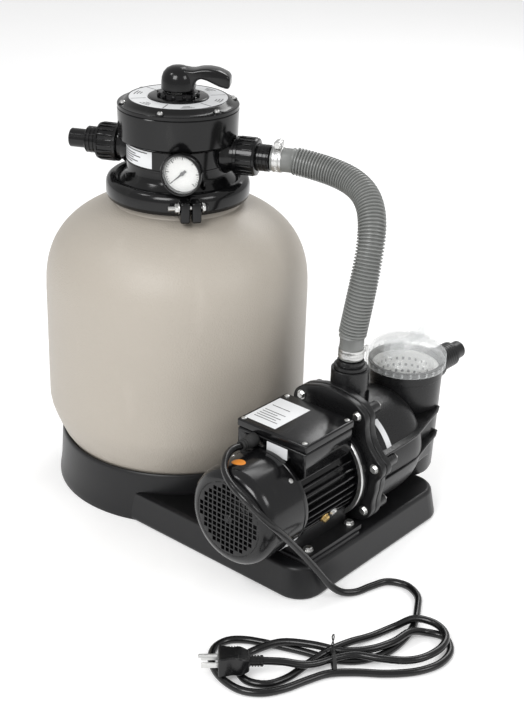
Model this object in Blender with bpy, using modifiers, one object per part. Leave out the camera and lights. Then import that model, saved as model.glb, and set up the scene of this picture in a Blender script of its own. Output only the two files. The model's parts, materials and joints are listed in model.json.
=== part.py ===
# Above-ground pool filter set: a sand filter tank with a top-mounted multiport valve, and a strainer pump
# that stands beside it on the same moulded base. Metres, +Z up. The origin is on the floor under the tank's
# axis, +X runs from the tank to the pump, and +Y runs along the motor from its fan to the strainer pot.
import math

import bmesh
import bpy
from mathutils import Quaternion, Vector

GAP = 0.0003  # between touching solids
SLACK = 0.0012  # between parts that drop into each other

# Tank
TANK_RADIUS = 0.165
TANK_WALL = 0.004
TANK_BOTTOM_Z = 0.0363
TANK_FOOT_RADIUS = 0.1416
TANK_FOOT_Z = 0.0602
TANK_SIDE_Z = 0.112
DOME_START_Z = 0.263
DOME_HEIGHT = 0.1172
DOME_POWER = 2.5
NECK_RADIUS = 0.0755
NECK_BORE = 0.060
FLANGE_RADIUS = 0.0795
NECK_FLANGE_Z = (0.3835, 0.3905)

# Base
SKIRT_RADIUS = 0.1555
SKIRT_TOP_RADIUS = 0.1505
SKIRT_HEIGHT = 0.066
PLATFORM_X = (0.020, 0.335)
PLATFORM_HALF_Y = 0.1445
PLATFORM_HEIGHT = 0.040
PLATFORM_CORNER = 0.032
PLATFORM_DRAFT = 0.006
BASE_WALL = 0.004
PAD_HEIGHT = 0.005

# Valve
VALVE_FLANGE_Z = (0.3935, 0.4015)
BARREL_RADIUS = 0.0625
CUP_RADIUS = 0.0735
CUP_BORE = 0.0660
PORT_ANGLE = math.radians(25.3)  # the pump port, from +X; the return port is opposite, the waste port square
PORT_Z = 0.4374
PORT_RADIUS = 0.0200
SEAT_Z = PORT_Z + PORT_RADIUS + 0.0026
CUP_Z = (SEAT_Z - 0.0055, SEAT_Z + 0.0303)
COVER_TOP_Z = CUP_Z[1] + 0.0112
HUB_TOP_Z = COVER_TOP_Z + 0.0070
STEM_RADIUS = 0.0075
STEM_TOP_Z = HUB_TOP_Z + 0.0155
ROTOR_Z = (SEAT_Z + 0.0025, SEAT_Z + 0.0090)
PIPE_BORE = 0.0163  # socket of the standpipe
PORT_BORE = 0.0150
PORT_END = 0.0840
NUT_RADIUS = PORT_RADIUS + 0.0035
NUT_REACH = (0.0742, 0.1015)
TAIL_RADIUS = 0.01625  # big step of a hose adapter
TIP_RADIUS = 0.0116  # small step, which the hose slides over
TAIL_BORE = 0.0095
TAIL_END = 0.1170
TIP_END = 0.1390

# Handle and its pin
LEVER_ANGLE = math.radians(35.0)
PIN_Z = HUB_TOP_Z + 0.0105
PIN_RADIUS = 0.0025
HANDLE_HALF_WIDTH = 0.0125

# Clamp round the tank neck
CLAMP_ANGLE = math.radians(-37.7)
CLAMP_RADIUS = 0.0885
CLAMP_Z = (0.3795, 0.4062)
LUG_REACH = 0.1045
LUG_BOLT_Z = 0.3945
LUG_BOLT_RADIUS = 0.0028

# Pressure gauge
GAUGE_OFFSET = 0.0321
GAUGE_Z = 0.4330
GAUGE_RADIUS = 0.0253
GAUGE_BACK = 0.0643
GAUGE_FACE = 0.0895
NEEDLE_REST = math.radians(222.0)

# Pump and motor, on one axis along +Y
MOTOR_X = 0.261
MOTOR_Z = 0.108
FRAME_RADIUS = 0.0565
FRAME_BORE = 0.0465
FRAME_Y = (-0.1250, -0.0263)
FIN_COUNT = 28
FIN_ROOT = 0.0505
MOTOR_FLANGE_RADIUS = 0.0645
MOTOR_FLANGE_Y = (-0.0260, -0.0158)
PLATE_Y = (-0.0155, -0.0063)
FAN_COVER_RADIUS = 0.0600
FAN_COVER_Y = (-0.1920, -0.1235)
GRILLE_RADIUS = 0.0470
SHAFT_RADIUS = 0.0070
BEARING_RADIUS = 0.0157
FOOT_SPREAD = 0.100
FOOT_BOLT_Y = (-0.108, -0.030)
BOX_X = 0.050
BOX_Y = (-0.1220, -0.0340)
BOX_Z = (0.1500, 0.1800)
LID_TOP_Z = 0.1905
GLAND_X = 0.238
GLAND_Z = 0.1738
GLAND_END_Y = -0.1470

# Wet end
VOLUTE_RADIUS = 0.0705
POT_Y = 0.140
POT_RADIUS = 0.0470
POT_FOOT_RADIUS = 0.0430
POT_Z = (0.0450, 0.1905)
POT_WALL = 0.0040
CHANNEL_Z = (0.0720, 0.1368)
CHANNEL_HALF_X = (0.0600, 0.0460)  # at the flange, and at the pot
RIB_Z = (0.1010, 0.1350)  # undersides of the two ribs along the channel
RIB_REACH = 0.0100
DISCHARGE_Y = 0.0225
COLLAR_RADIUS = 0.0229
COLLAR_TOP_Z = 0.2220
COLLAR_BORE = 0.0166
SUCTION_Z = 0.165
STRAINER_LID_RADIUS = POT_RADIUS + 0.0035
STRAINER_LID_Z = (0.1875, 0.2060)
BASKET_RADIUS = 0.0380

# Hose and mains cord
HOSE_RADIUS = 0.01675
CUFF_RADIUS = 0.0145
HOSE_WALL = 0.0020
HOSE_LOW_END_Z = 0.2345
CUFF_LENGTH = 0.030
CORD_RADIUS = 0.0042
HANK_HEIGHT = 0.0172
PLUG_TAIL = Vector((0.3816, -0.2681, 0.0208))
PLUG_ANGLE = math.radians(223.6)

parts = bpy.data.collections.new("pool_filter_pump")
cutters = bpy.data.collections.new("cutters")


def start_scene():
    for obj in list(bpy.data.objects):
        bpy.data.objects.remove(obj, do_unlink=True)
    for collection in (parts, cutters):
        bpy.context.scene.collection.children.link(collection)
    cutters.hide_render = True


def material(name, color, roughness, metallic=0.0, alpha=1.0):
    made = bpy.data.materials.new(name)
    made.use_nodes = True
    shader = made.node_tree.nodes["Principled BSDF"]
    shader.inputs["Base Color"].default_value = (*color, 1.0)
    shader.inputs["Roughness"].default_value = roughness
    shader.inputs["Metallic"].default_value = metallic
    shader.inputs["Alpha"].default_value = alpha
    return made


def add(name, data, finish, parent=None, location=(0, 0, 0)):
    """Puts data in the scene as a part, or as a cutter when it has no finish."""
    obj = bpy.data.objects.new(name, data)
    obj.location = location
    obj.parent = parent
    if finish is None:
        obj.hide_render = True
        obj.display_type = "WIRE"
        cutters.objects.link(obj)
    else:
        data.materials.append(finish)
        parts.objects.link(obj)
    return obj


def axis_at(name, location, rotation):
    """An empty whose local Z is an axis that other pieces are turned on."""
    empty = bpy.data.objects.new(name, None)
    empty.location = location
    empty.rotation_euler = rotation
    parts.objects.link(empty)
    return empty


def twist():
    """A different turn for each round cutter, so that no two of them have edges in one plane."""
    return 0.11 * len(cutters.objects)


def turned(name, profile, finish, parent=None, location=(0, 0, 0), steps=24):
    """A solid turned on local Z from (radius, height) points, open only where both ends are on the axis."""
    points = list(profile)
    area = sum(a[0] * b[1] - b[0] * a[1] for a, b in zip(points, points[1:] + points[:1]))
    if area > 0:
        points.reverse()
    edges = [(i, i + 1) for i in range(len(points) - 1)]
    if points[0][0] > 0 or points[-1][0] > 0:
        edges.append((len(points) - 1, 0))
    mesh = bpy.data.meshes.new(name)
    mesh.from_pydata([(r, 0.0, h) for r, h in points], edges, [])
    obj = add(name, mesh, finish, parent, location)
    screw = obj.modifiers.new("turn", "SCREW")
    screw.steps = steps
    screw.render_steps = steps
    screw.use_merge_vertices = True
    screw.merge_threshold = 0.00001
    screw.use_smooth_shade = True
    if finish is None:
        obj.rotation_euler.z = twist()
    return obj


def block(name, low, high, finish, parent=None):
    """A box between two corners."""
    mesh = bpy.data.meshes.new(name)
    shape = bmesh.new()
    bmesh.ops.create_cube(shape, size=1.0)
    size = Vector(high) - Vector(low)
    bmesh.ops.scale(shape, vec=size, verts=shape.verts)
    shape.to_mesh(mesh)
    shape.free()
    return add(name, mesh, finish, parent, (Vector(low) + Vector(high)) / 2)


def rod(name, start, end, radius, finish, parent=None, sides=16):
    """A straight cylinder between two points."""
    start, end = Vector(start), Vector(end)
    mesh = bpy.data.meshes.new(name)
    shape = bmesh.new()
    bmesh.ops.create_cone(
        shape, cap_ends=True, segments=sides, radius1=radius, radius2=radius, depth=(end - start).length
    )
    shape.to_mesh(mesh)
    shape.free()
    mesh.shade_smooth()
    mesh.set_sharp_from_angle(angle=math.radians(40))
    obj = add(name, mesh, finish, parent, (start + end) / 2)
    obj.rotation_mode = "QUATERNION"
    obj.rotation_quaternion = (end - start).to_track_quat("Z", "Y")
    if finish is None and sides > 8:
        obj.rotation_quaternion @= Quaternion((0, 0, 1), twist())
    return obj


def drafted_block(name, x, half_y, z, corner, draft, finish):
    """A box with rounded upright corners whose sides lean in towards the top."""
    mesh = bpy.data.meshes.new(name)
    shape = bmesh.new()
    bmesh.ops.create_cube(shape, size=1.0)
    bmesh.ops.scale(shape, vec=(x[1] - x[0], 2 * half_y, z[1] - z[0]), verts=shape.verts)
    bmesh.ops.translate(shape, vec=((x[0] + x[1]) / 2, 0, (z[0] + z[1]) / 2), verts=shape.verts)
    upright = [e for e in shape.edges if abs(e.verts[0].co.z - e.verts[1].co.z) > 0.001]
    bmesh.ops.bevel(shape, geom=upright, offset=corner, segments=6, profile=0.5, affect="EDGES")
    middle = (x[0] + x[1]) / 2
    for vert in shape.verts:
        if vert.co.z > z[0] + 0.001:
            vert.co.x = middle + (vert.co.x - middle) * (1 - 2 * draft / (x[1] - x[0]))
            vert.co.y *= 1 - draft / half_y
    shape.to_mesh(mesh)
    shape.free()
    return add(name, mesh, finish)


def outline(name, points, half_depth, finish, parent=None, location=(0, 0, 0), holes=(), smooth=0):
    """A flat outline in local XY, deep along local Z; smooth is the steps between points, 0 for straight."""
    curve = bpy.data.curves.new(name, "CURVE")
    curve.dimensions = "2D"
    curve.fill_mode = "BOTH"
    curve.extrude = half_depth
    for ring in (points, *holes):
        if smooth:
            curve.resolution_u = smooth
            spline = curve.splines.new("BEZIER")
            spline.bezier_points.add(len(ring) - 1)
            for point, (px, py) in zip(spline.bezier_points, ring):
                point.co = (px, py, 0)
                point.handle_left_type = "AUTO"
                point.handle_right_type = "AUTO"
        else:
            spline = curve.splines.new("POLY")
            spline.points.add(len(ring) - 1)
            for point, (px, py) in zip(spline.points, ring):
                point.co = (px, py, 0, 1)
        spline.use_cyclic_u = True
    return as_mesh(add(name, curve, finish, parent, location))


def as_mesh(obj):
    """The same object as a welded mesh, so that Booleans can use it."""
    bpy.context.view_layer.update()
    graph = bpy.context.evaluated_depsgraph_get()
    mesh = bpy.data.meshes.new_from_object(obj.evaluated_get(graph))
    shape = bmesh.new()
    shape.from_mesh(mesh)
    bmesh.ops.remove_doubles(shape, verts=shape.verts, dist=0.00001)
    bmesh.ops.recalc_face_normals(shape, faces=shape.faces)
    shape.to_mesh(mesh)
    shape.free()
    name, home, parent = obj.name, obj.users_collection[0], obj.parent
    place = obj.matrix_world.copy()
    hidden = obj.hide_render
    old = obj.data
    bpy.data.objects.remove(obj, do_unlink=True)
    bpy.data.curves.remove(old)
    made = bpy.data.objects.new(name, mesh)
    home.objects.link(made)
    made.parent = parent
    made.matrix_world = place
    made.hide_render = hidden
    made.display_type = "WIRE" if hidden else "TEXTURED"
    return made


def tube(name, points, radius, finish, resolution=2, radii=None, caps=True):
    """A POLY curve with round section through points in world space."""
    curve = bpy.data.curves.new(name, "CURVE")
    curve.dimensions = "3D"
    curve.bevel_depth = radius
    curve.bevel_resolution = resolution
    curve.use_fill_caps = caps
    spline = curve.splines.new("POLY")
    spline.points.add(len(points) - 1)
    for i, point in enumerate(points):
        spline.points[i].co = (*point, 1)
        spline.points[i].radius = radii[i] / radius if radii else 1.0
    return add(name, curve, finish)


def change(obj, operation, tools):
    for tool in tools:
        step = obj.modifiers.new(f"{operation.lower()}_{tool.name}"[:60], "BOOLEAN")
        step.operation = operation
        step.solver = "EXACT"
        step.object = tool
    return obj


def join(obj, *tools):
    return change(obj, "UNION", tools)


def cut(obj, *tools):
    return change(obj, "DIFFERENCE", tools)


def keep(obj, tool):
    return change(obj, "INTERSECT", [tool])


def ring(name, inner, outer, low, high, finish, parent=None, location=(0, 0, 0), steps=24):
    profile = [(inner, low), (outer, low), (outer, high), (inner, high)]
    return turned(name, profile, finish, parent, location, steps)


def disc(name, radius, low, high, finish, parent=None, location=(0, 0, 0), steps=24):
    return turned(name, [(0, low), (radius, low), (radius, high), (0, high)], finish, parent, location,
                  steps)


def tank_side(offset):
    """The tank's outer side from its foot to the neck, moved outwards by offset."""
    points = [(TANK_FOOT_RADIUS + offset, TANK_FOOT_Z), (0.1555 + offset, 0.086)]
    points += [(TANK_RADIUS + offset, TANK_SIDE_Z), (TANK_RADIUS + offset, DOME_START_Z)]
    stations = (0.3, 0.53, 0.7, 0.82, 0.9, 0.9334)
    for share in stations:
        radius = (TANK_RADIUS + offset) * (1 - share**DOME_POWER) ** (1 / DOME_POWER)
        points.append((radius, DOME_START_Z + (DOME_HEIGHT + offset) * share))
    return points


def base(finishes):
    plastic = finishes["base"]
    tray = drafted_block(
        "base_tray", PLATFORM_X, PLATFORM_HALF_Y, (0, PLATFORM_HEIGHT), PLATFORM_CORNER, PLATFORM_DRAFT,
        plastic
    )
    skirt_outline = [(0, 0), (SKIRT_RADIUS, 0), (SKIRT_TOP_RADIUS, SKIRT_HEIGHT), (0, SKIRT_HEIGHT)]
    skirt = turned("skirt", skirt_outline, None, steps=36)
    motor_pad = block(
        "motor_pad",
        (MOTOR_X - 0.064, FOOT_BOLT_Y[0] - 0.016, PLATFORM_HEIGHT - 0.002),
        (MOTOR_X + 0.064, MOTOR_FLANGE_Y[0] - 0.001, PLATFORM_HEIGHT + PAD_HEIGHT),
        None,
    )
    pot_pad = rod(
        "pot_pad",
        (MOTOR_X, POT_Y - 0.02, PLATFORM_HEIGHT - 0.002),
        (MOTOR_X, POT_Y - 0.02, POT_Z[0] - GAP),
        0.020,
        None,
    )
    seat_z = TANK_BOTTOM_Z - GAP
    side = tank_side(SLACK)[:3]
    recess = turned("tank_recess", [(0, seat_z), (0.1275, seat_z), *side, (0, TANK_SIDE_Z)], None, steps=32)
    roof = seat_z - BASE_WALL
    inner = SKIRT_RADIUS - BASE_WALL
    hollow = [(0.022, -0.01), (inner, -0.01), (inner, 0), (inner - 0.003, roof), (0.022, roof)]
    skirt_hollow = turned("skirt_hollow", hollow, None, steps=28)
    under = drafted_block(
        "platform_hollow",
        (SKIRT_RADIUS + 0.003, PLATFORM_X[1] - BASE_WALL),
        PLATFORM_HALF_Y - BASE_WALL,
        (-0.01, PLATFORM_HEIGHT - BASE_WALL),
        PLATFORM_CORNER - BASE_WALL,
        PLATFORM_DRAFT,
        None,
    )
    join(tray, skirt, motor_pad, pot_pad)
    cut(tray, recess, skirt_hollow, under)


def tank(finishes):
    flange_low, flange_high = NECK_FLANGE_Z
    outer = [(0, TANK_BOTTOM_Z), (0.1265, TANK_BOTTOM_Z), *tank_side(0)]
    outer += [(NECK_RADIUS, 0.3765), (NECK_RADIUS, flange_low), (FLANGE_RADIUS, flange_low)]
    outer += [(FLANGE_RADIUS, flange_high), (NECK_BORE, flange_high)]
    inner = [p for p in tank_side(-TANK_WALL) if p[0] > NECK_BORE]
    inner = [(0, TANK_BOTTOM_Z + TANK_WALL), (0.124, TANK_BOTTOM_Z + TANK_WALL), *inner]
    shell = outer + [(NECK_BORE, inner[-1][1])] + inner[::-1]
    turned("tank_shell", shell, finishes["tank"], steps=32)
    pipe_top = VALVE_FLANGE_Z[0] + 0.035
    ring("standpipe", 0.0130, 0.0160, 0.0800, pipe_top, finishes["inside"], steps=20)
    hub = ring("lateral_hub", 0.0163, 0.0240, 0.0620, 0.1000, finishes["inside"], steps=20)
    floor_of_hub = disc("lateral_hub_floor", 0.0240, 0.0600, 0.0660, None, steps=20)
    arms = []
    for i in range(6):
        angle = math.radians(60 * i + 30)
        way = Vector((math.cos(angle), math.sin(angle), 0))
        centre = Vector((0, 0, 0.072))
        arms.append(rod(f"lateral_{i}", centre + way * 0.020, centre + way * 0.110, 0.0065, None, sides=6))
    join(hub, floor_of_hub, *arms)
    seal_mid = (flange_high + VALVE_FLANGE_Z[0]) / 2
    seal_half = (VALVE_FLANGE_Z[0] - flange_high) / 2 - GAP
    seal = [(0.069, seal_mid - seal_half), (0.073, seal_mid - seal_half), (0.074, seal_mid)]
    seal += [(0.073, seal_mid + seal_half), (0.069, seal_mid + seal_half), (0.068, seal_mid)]
    turned("neck_oring", seal, finishes["rubber"], steps=24)


def clamp(finishes):
    axis = axis_at("clamp_axis", (0, 0, 0), (0, 0, CLAMP_ANGLE))
    low, high = CLAMP_Z
    groove = FLANGE_RADIUS + 0.001
    lip = NECK_RADIUS + 0.001
    band = [
        (lip, low), (CLAMP_RADIUS - 0.004, low), (CLAMP_RADIUS, low + 0.006), (CLAMP_RADIUS, high - 0.008),
        (CLAMP_RADIUS - 0.005, high), (lip, high), (lip, VALVE_FLANGE_Z[1] + GAP),
        (groove, VALVE_FLANGE_Z[1] + GAP), (groove, NECK_FLANGE_Z[0] - GAP), (lip, NECK_FLANGE_Z[0] - GAP),
    ]
    for side, word in ((1, "right"), (-1, "left")):
        half = turned(f"clamp_half_{word}", band, finishes["black"], axis, steps=28)
        tools = []
        for end, where in ((1, "front"), (-1, "rear")):
            corners = ((end * (CLAMP_RADIUS - 0.006), side * 0.001), (end * LUG_REACH, side * 0.0135))
            flat = [sorted(pair) for pair in zip(*corners)]
            tools.append(
                block(
                    f"lug_{word}_{where}", (flat[0][0], flat[1][0], low - 0.004),
                    (flat[0][1], flat[1][1], high - 0.004), None, axis,
                )
            )
        join(half, *tools)
        away = block(f"other_half_{word}", (-0.2, min(0, -side * 0.2), 0.3),
                     (0.2, max(0, -side * 0.2), 0.5), None, axis)
        away.location.y += side * 0.003
        cut(half, away)
        for end, where in ((1, "front"), (-1, "rear")):
            reach = end * (LUG_REACH - 0.0075)
            hole = rod(
                f"lug_hole_{word}_{where}", (reach, -0.03, LUG_BOLT_Z), (reach, 0.03, LUG_BOLT_Z),
                LUG_BOLT_RADIUS + 0.0006, None, axis, 12,
            )
            cut(half, hole)
    for end, where in ((1, "front"), (-1, "rear")):
        reach = end * (LUG_REACH - 0.0075)
        bolt = rod(
            f"clamp_bolt_{where}", (reach, -0.027, LUG_BOLT_Z), (reach, 0.0150, LUG_BOLT_Z),
            LUG_BOLT_RADIUS, finishes["steel"], axis, 12,
        )
        head = rod(
            f"clamp_bolt_head_{where}", (reach, 0.0138, LUG_BOLT_Z), (reach, 0.0180, LUG_BOLT_Z),
            0.0055, None, axis, 6,
        )
        join(bolt, head)
        nut = rod(
            f"clamp_nut_{where}", (reach, -0.0188, LUG_BOLT_Z), (reach, -0.0138, LUG_BOLT_Z),
            0.0058, finishes["steel"], axis, 6,
        )
        thread = rod(
            f"nut_thread_{where}", (reach, -0.03, LUG_BOLT_Z), (reach, -0.01, LUG_BOLT_Z),
            LUG_BOLT_RADIUS + GAP, None, axis, 12,
        )
        cut(nut, thread)


def port_axis(name, angle):
    return axis_at(name, (0, 0, PORT_Z), (0, math.pi / 2, angle))


def valve(finishes):
    black = finishes["black"]
    flange_low, flange_high = VALVE_FLANGE_Z
    roof = SEAT_Z - 0.0055
    shape = [
        (0.0535, flange_low), (FLANGE_RADIUS, flange_low), (FLANGE_RADIUS, flange_high),
        (0.0740, flange_high),
        (BARREL_RADIUS, 0.4140), (BARREL_RADIUS, CUP_Z[0] - 0.004), (CUP_RADIUS, CUP_Z[0]),
        (CUP_RADIUS, CUP_Z[1]), (CUP_BORE, CUP_Z[1]), (CUP_BORE, SEAT_Z), (PIPE_BORE, SEAT_Z),
        (PIPE_BORE, flange_low + 0.004), (0.0215, flange_low + 0.004), (0.0215, roof), (0.0535, roof),
    ]
    body = turned("valve_body", shape, black, steps=24)
    ports = {
        "pump": port_axis("pump_port_axis", PORT_ANGLE),
        "return": port_axis("return_port_axis", PORT_ANGLE + math.pi),
        "waste": port_axis("waste_port_axis", PORT_ANGLE + math.pi / 2),
    }
    spouts = [rod(f"{word}_spout", (0, 0, 0.0555), (0, 0, PORT_END), PORT_RADIUS, None, axis, 20)
              for word, axis in ports.items()]
    bores = [rod(f"{word}_bore", (0, 0, 0.035), (0, 0, PORT_END + 0.02), PORT_BORE, None, axis, 20)
             for word, axis in ports.items()]
    gauge = gauge_axis()
    boss = rod("gauge_boss", (0, 0, 0.0550), (0, 0, GAUGE_BACK - GAP), 0.0085, None, gauge, 12)
    join(body, *spouts, boss)
    windows = []
    for i in range(4):
        angle = PORT_ANGLE + math.pi / 4 + i * math.pi / 2
        spot = Vector((math.cos(angle), math.sin(angle), 0)) * 0.038
        windows.append(disc(f"seat_window_{i}", 0.0110, SEAT_Z - 0.02, SEAT_Z + 0.01, None, location=spot,
                            steps=12))
    cut(body, *bores, *windows)

    gasket = ring("valve_gasket", 0.0540, 0.0640, SEAT_Z + GAP, ROTOR_Z[0] - GAP, finishes["rubber"],
                  steps=20)
    gasket_hub = ring("gasket_hub", 0.0170, 0.0220, SEAT_Z + GAP, ROTOR_Z[0] - GAP, None, steps=20)
    spokes = []
    for i in range(4):
        spoke = block(
            f"gasket_spoke_{i}", (0.019, -0.0015, SEAT_Z + GAP), (0.058, 0.0015, ROTOR_Z[0] - GAP), None
        )
        turn = PORT_ANGLE + i * math.pi / 2
        spoke.location = Vector((0.0385 * math.cos(turn), 0.0385 * math.sin(turn), spoke.location.z))
        spoke.rotation_euler.z = turn
        spokes.append(spoke)
    join(gasket, gasket_hub, *spokes)

    cover = [
        (STEM_RADIUS + 0.001, CUP_Z[1] + GAP), (CUP_RADIUS, CUP_Z[1] + GAP), (CUP_RADIUS, 0.4955),
        (0.0660, 0.4975), (0.0615, 0.5022), (0.0600, COVER_TOP_Z), (0.0360, COVER_TOP_Z),
        (0.0360, COVER_TOP_Z + 0.0015), (0.0245, COVER_TOP_Z + 0.0015), (0.0235, HUB_TOP_Z),
        (STEM_RADIUS + 0.001, HUB_TOP_Z),
    ]
    turned("valve_cover", cover, black, steps=24)

    rotor_low, rotor_high = ROTOR_Z
    rotor = [
        (0, rotor_low), (0.0645, rotor_low), (0.0645, rotor_high), (STEM_RADIUS, rotor_high + 0.001),
        (STEM_RADIUS, STEM_TOP_Z), (0, STEM_TOP_Z),
    ]
    core = turned("valve_rotor", rotor, finishes["inside"], steps=28)
    cell = disc("rotor_cell", 0.0120, rotor_low - 0.01, rotor_high + 0.01, None, steps=16)
    cell.location = (0.038 * math.cos(PORT_ANGLE), 0.038 * math.sin(PORT_ANGLE), 0)
    lever = axis_at("handle_axis", (0, 0, PIN_Z), (0, 0, LEVER_ANGLE))
    pin_hole = rod("pin_hole", (0, -0.03, 0), (0, 0.03, 0), PIN_RADIUS + GAP, None, lever, 12)
    cut(core, cell, pin_hole)
    rod("handle_pin", (0, -0.0115, 0), (0, 0.0115, 0), PIN_RADIUS, finishes["steel"], lever, 12)

    coil = []
    turns, per_turn, wire = 3.5, 10, 0.0012
    low = rotor_high + 0.001 + wire + GAP
    high = CUP_Z[1] - wire - GAP
    for i in range(int(turns * per_turn) + 1):
        angle = 2 * math.pi * i / per_turn
        coil.append((0.014 * math.cos(angle), 0.014 * math.sin(angle),
                     low + (high - low) * i / (turns * per_turn)))
    tube("valve_spring", coil, wire, finishes["steel"], 1)
    ring("handle_washer", STEM_RADIUS + 0.0004, 0.0140, HUB_TOP_Z + GAP, HUB_TOP_Z + 0.0013,
         finishes["steel"], steps=24)

    side_view = [
        (-0.0195, -0.0087), (0.0195, -0.0087), (0.0220, 0.0035), (0.0280, 0.0095), (0.0360, 0.0075),
        (0.0450, 0.0015), (0.0560, -0.0015), (0.0635, 0.0015), (0.0630, 0.0095), (0.0550, 0.0145),
        (0.0400, 0.0195), (0.0240, 0.0195), (0.0160, 0.0175), (0.0080, 0.0195), (-0.0020, 0.0205),
        (-0.0120, 0.0165), (-0.0200, 0.0080), (-0.0215, -0.0005),
    ]
    handle = outline("valve_handle", side_view, HANDLE_HALF_WIDTH, black)
    handle.parent = lever
    handle.matrix_parent_inverse.identity()
    handle.location = (0, 0, 0)
    handle.rotation_euler = (math.pi / 2, 0, 0)
    soften = handle.modifiers.new("soften", "BEVEL")
    soften.width = 0.0025
    soften.segments = 2
    slot = block("handle_slot", (-0.0115, -STEM_RADIUS - 0.0006, -0.02),
                 (0.0115, STEM_RADIUS + 0.0006, 0.0085), None, lever)
    cut(handle, slot, pin_hole)
    return ports


def gauge_axis():
    across = Vector((math.cos(PORT_ANGLE), math.sin(PORT_ANGLE), 0)) * GAUGE_OFFSET
    return axis_at("gauge_axis", (across.x, across.y, GAUGE_Z), (math.pi / 2, 0, PORT_ANGLE))


def gauge(finishes):
    axis = bpy.data.objects["gauge_axis"]
    lip = GAUGE_FACE - 0.0045
    seat = GAUGE_FACE - 0.0095
    case = [
        (0, GAUGE_BACK), (0.0060, GAUGE_BACK), (0.0060, GAUGE_BACK + 0.005), (0.0232, GAUGE_BACK + 0.0055),
        (0.0240, lip), (GAUGE_RADIUS, lip), (GAUGE_RADIUS, GAUGE_FACE), (0.0222, GAUGE_FACE),
        (0.0222, seat), (0, seat),
    ]
    turned("gauge_case", case, finishes["black"], axis)
    disc("gauge_dial", 0.0219, seat + GAP, seat + 0.0012, finishes["white"], axis)
    disc("gauge_lens", 0.0219, GAUGE_FACE - 0.0035, GAUGE_FACE - 0.0015, finishes["clear"], axis)
    needle_axis = axis_at("needle_axis", (0, 0, 0), (0, 0, NEEDLE_REST))
    needle_axis.parent = axis
    low = seat + 0.0016
    needle = block("gauge_needle", (-0.0060, -0.0007, low + 0.0006), (0.0165, 0.0007, low + 0.0014),
                   finishes["black"], needle_axis)
    join(needle, rod("needle_hub", (0, 0, low), (0, 0, low + 0.0020), 0.0020, None, needle_axis, 12))


def hose_adapter(name, collar, finish, axis, tail_start, tail_end, tip_end):
    """A stepped spigot on local Z, with a collar (radius, start) that a nut or a socket holds."""
    profile = [
        (TAIL_BORE, collar[1]), (collar[0], collar[1]), (collar[0], tail_start), (TAIL_RADIUS, tail_start),
        (TAIL_RADIUS, tail_end), (TIP_RADIUS, tail_end + 0.001), (TIP_RADIUS, tip_end),
        (TAIL_BORE, tip_end),
    ]
    return turned(name, profile, finish, axis, steps=16)


def port_fittings(finishes, ports):
    black = finishes["black"]
    low, high = NUT_REACH
    for word in ("pump", "return"):
        nut = [
            (PORT_RADIUS + 0.0006, low), (NUT_RADIUS, low), (NUT_RADIUS, high),
            (TAIL_RADIUS + 0.0006, high),
            (TAIL_RADIUS + 0.0006, high - 0.004), (PORT_RADIUS + 0.0006, high - 0.004),
        ]
        turned(f"{word}_port_nut", nut, black, ports[word], steps=20)
        hose_adapter(
            f"{word}_adapter", (PORT_RADIUS, PORT_END + GAP), black, ports[word],
            high - 0.004 - GAP, TAIL_END, TIP_END,
        )
    cap = [
        (0, PORT_END + GAP), (PORT_RADIUS + 0.0006, PORT_END + GAP), (PORT_RADIUS + 0.0006, low),
        (NUT_RADIUS, low), (NUT_RADIUS, 0.0900), (0, 0.0900),
    ]
    turned("waste_cap", cap, black, ports["waste"], steps=20)


def hose_path():
    """Points and radii from the pump port's adapter to the pump's discharge."""
    out = Vector((math.cos(PORT_ANGLE), math.sin(PORT_ANGLE), 0))
    start = out * (TAIL_END + 0.0015) + Vector((0, 0, PORT_Z))
    bend = out * (TAIL_END + CUFF_LENGTH) + Vector((0, 0, PORT_Z))
    foot = Vector((MOTOR_X, DISCHARGE_Y, HOSE_LOW_END_Z))
    landing = foot + Vector((0, 0, CUFF_LENGTH))
    first = bend + out * 0.116 + Vector((0, 0, -0.0158))
    second = landing + Vector((0.0211, 0.0107, 0.1639))
    points = [start, start.lerp(bend, 0.5), start.lerp(bend, 0.95)]
    radii = [CUFF_RADIUS] * 3
    steps = 20
    for i in range(1, steps):
        t = i / steps
        points.append(
            (1 - t) ** 3 * bend + 3 * (1 - t) ** 2 * t * first + 3 * (1 - t) * t * t * second + t**3 * landing
        )
        radii.append(HOSE_RADIUS)
    points += [foot.lerp(landing, 0.95), foot.lerp(landing, 0.5), foot]
    radii += [CUFF_RADIUS] * 3
    return points, radii


def hose(finishes):
    points, radii = hose_path()
    sleeve = as_mesh(tube("transfer_hose", points, HOSE_RADIUS, finishes["hose"], 4, radii, caps=False))
    wall = sleeve.modifiers.new("wall", "SOLIDIFY")
    wall.thickness = HOSE_WALL
    wall.offset = -1
    pump_port = bpy.data.objects["pump_port_axis"]
    discharge = bpy.data.objects["discharge_axis"]
    for word, axis, low in (("top", pump_port, TAIL_END + 0.004),
                            ("bottom", discharge, HOSE_LOW_END_Z + 0.002)):
        band = ring(f"hose_clamp_{word}", CUFF_RADIUS + 0.0004, CUFF_RADIUS + 0.0012, low, low + 0.011,
                    finishes["steel"], axis)
        way = (0, 1) if word == "bottom" else (-1, 0)
        near, far = CUFF_RADIUS + 0.0008, CUFF_RADIUS + 0.0090
        if way[0]:
            corners = ((-far, -0.0075, low + 0.001), (-near, 0.0075, low + 0.010))
        else:
            corners = ((-0.0075, near, low + 0.001), (0.0075, far, low + 0.010))
        join(band, block(f"clamp_screw_box_{word}", *corners, None, axis))


def flange_points():
    """Half of the pump's bolt flange, local to the motor axis as (x, up)."""
    right = [(0.030, 0.0935), (0.056, 0.0790), (0.0750, 0.0460), (0.0815, 0.0120), (0.0770, -0.0250)]
    right += [(0.0660, -0.0500), (0.0300, -0.0610)]
    return [(0, 0.0985), *right, *[(-x, up) for x, up in reversed(right)]]


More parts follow.
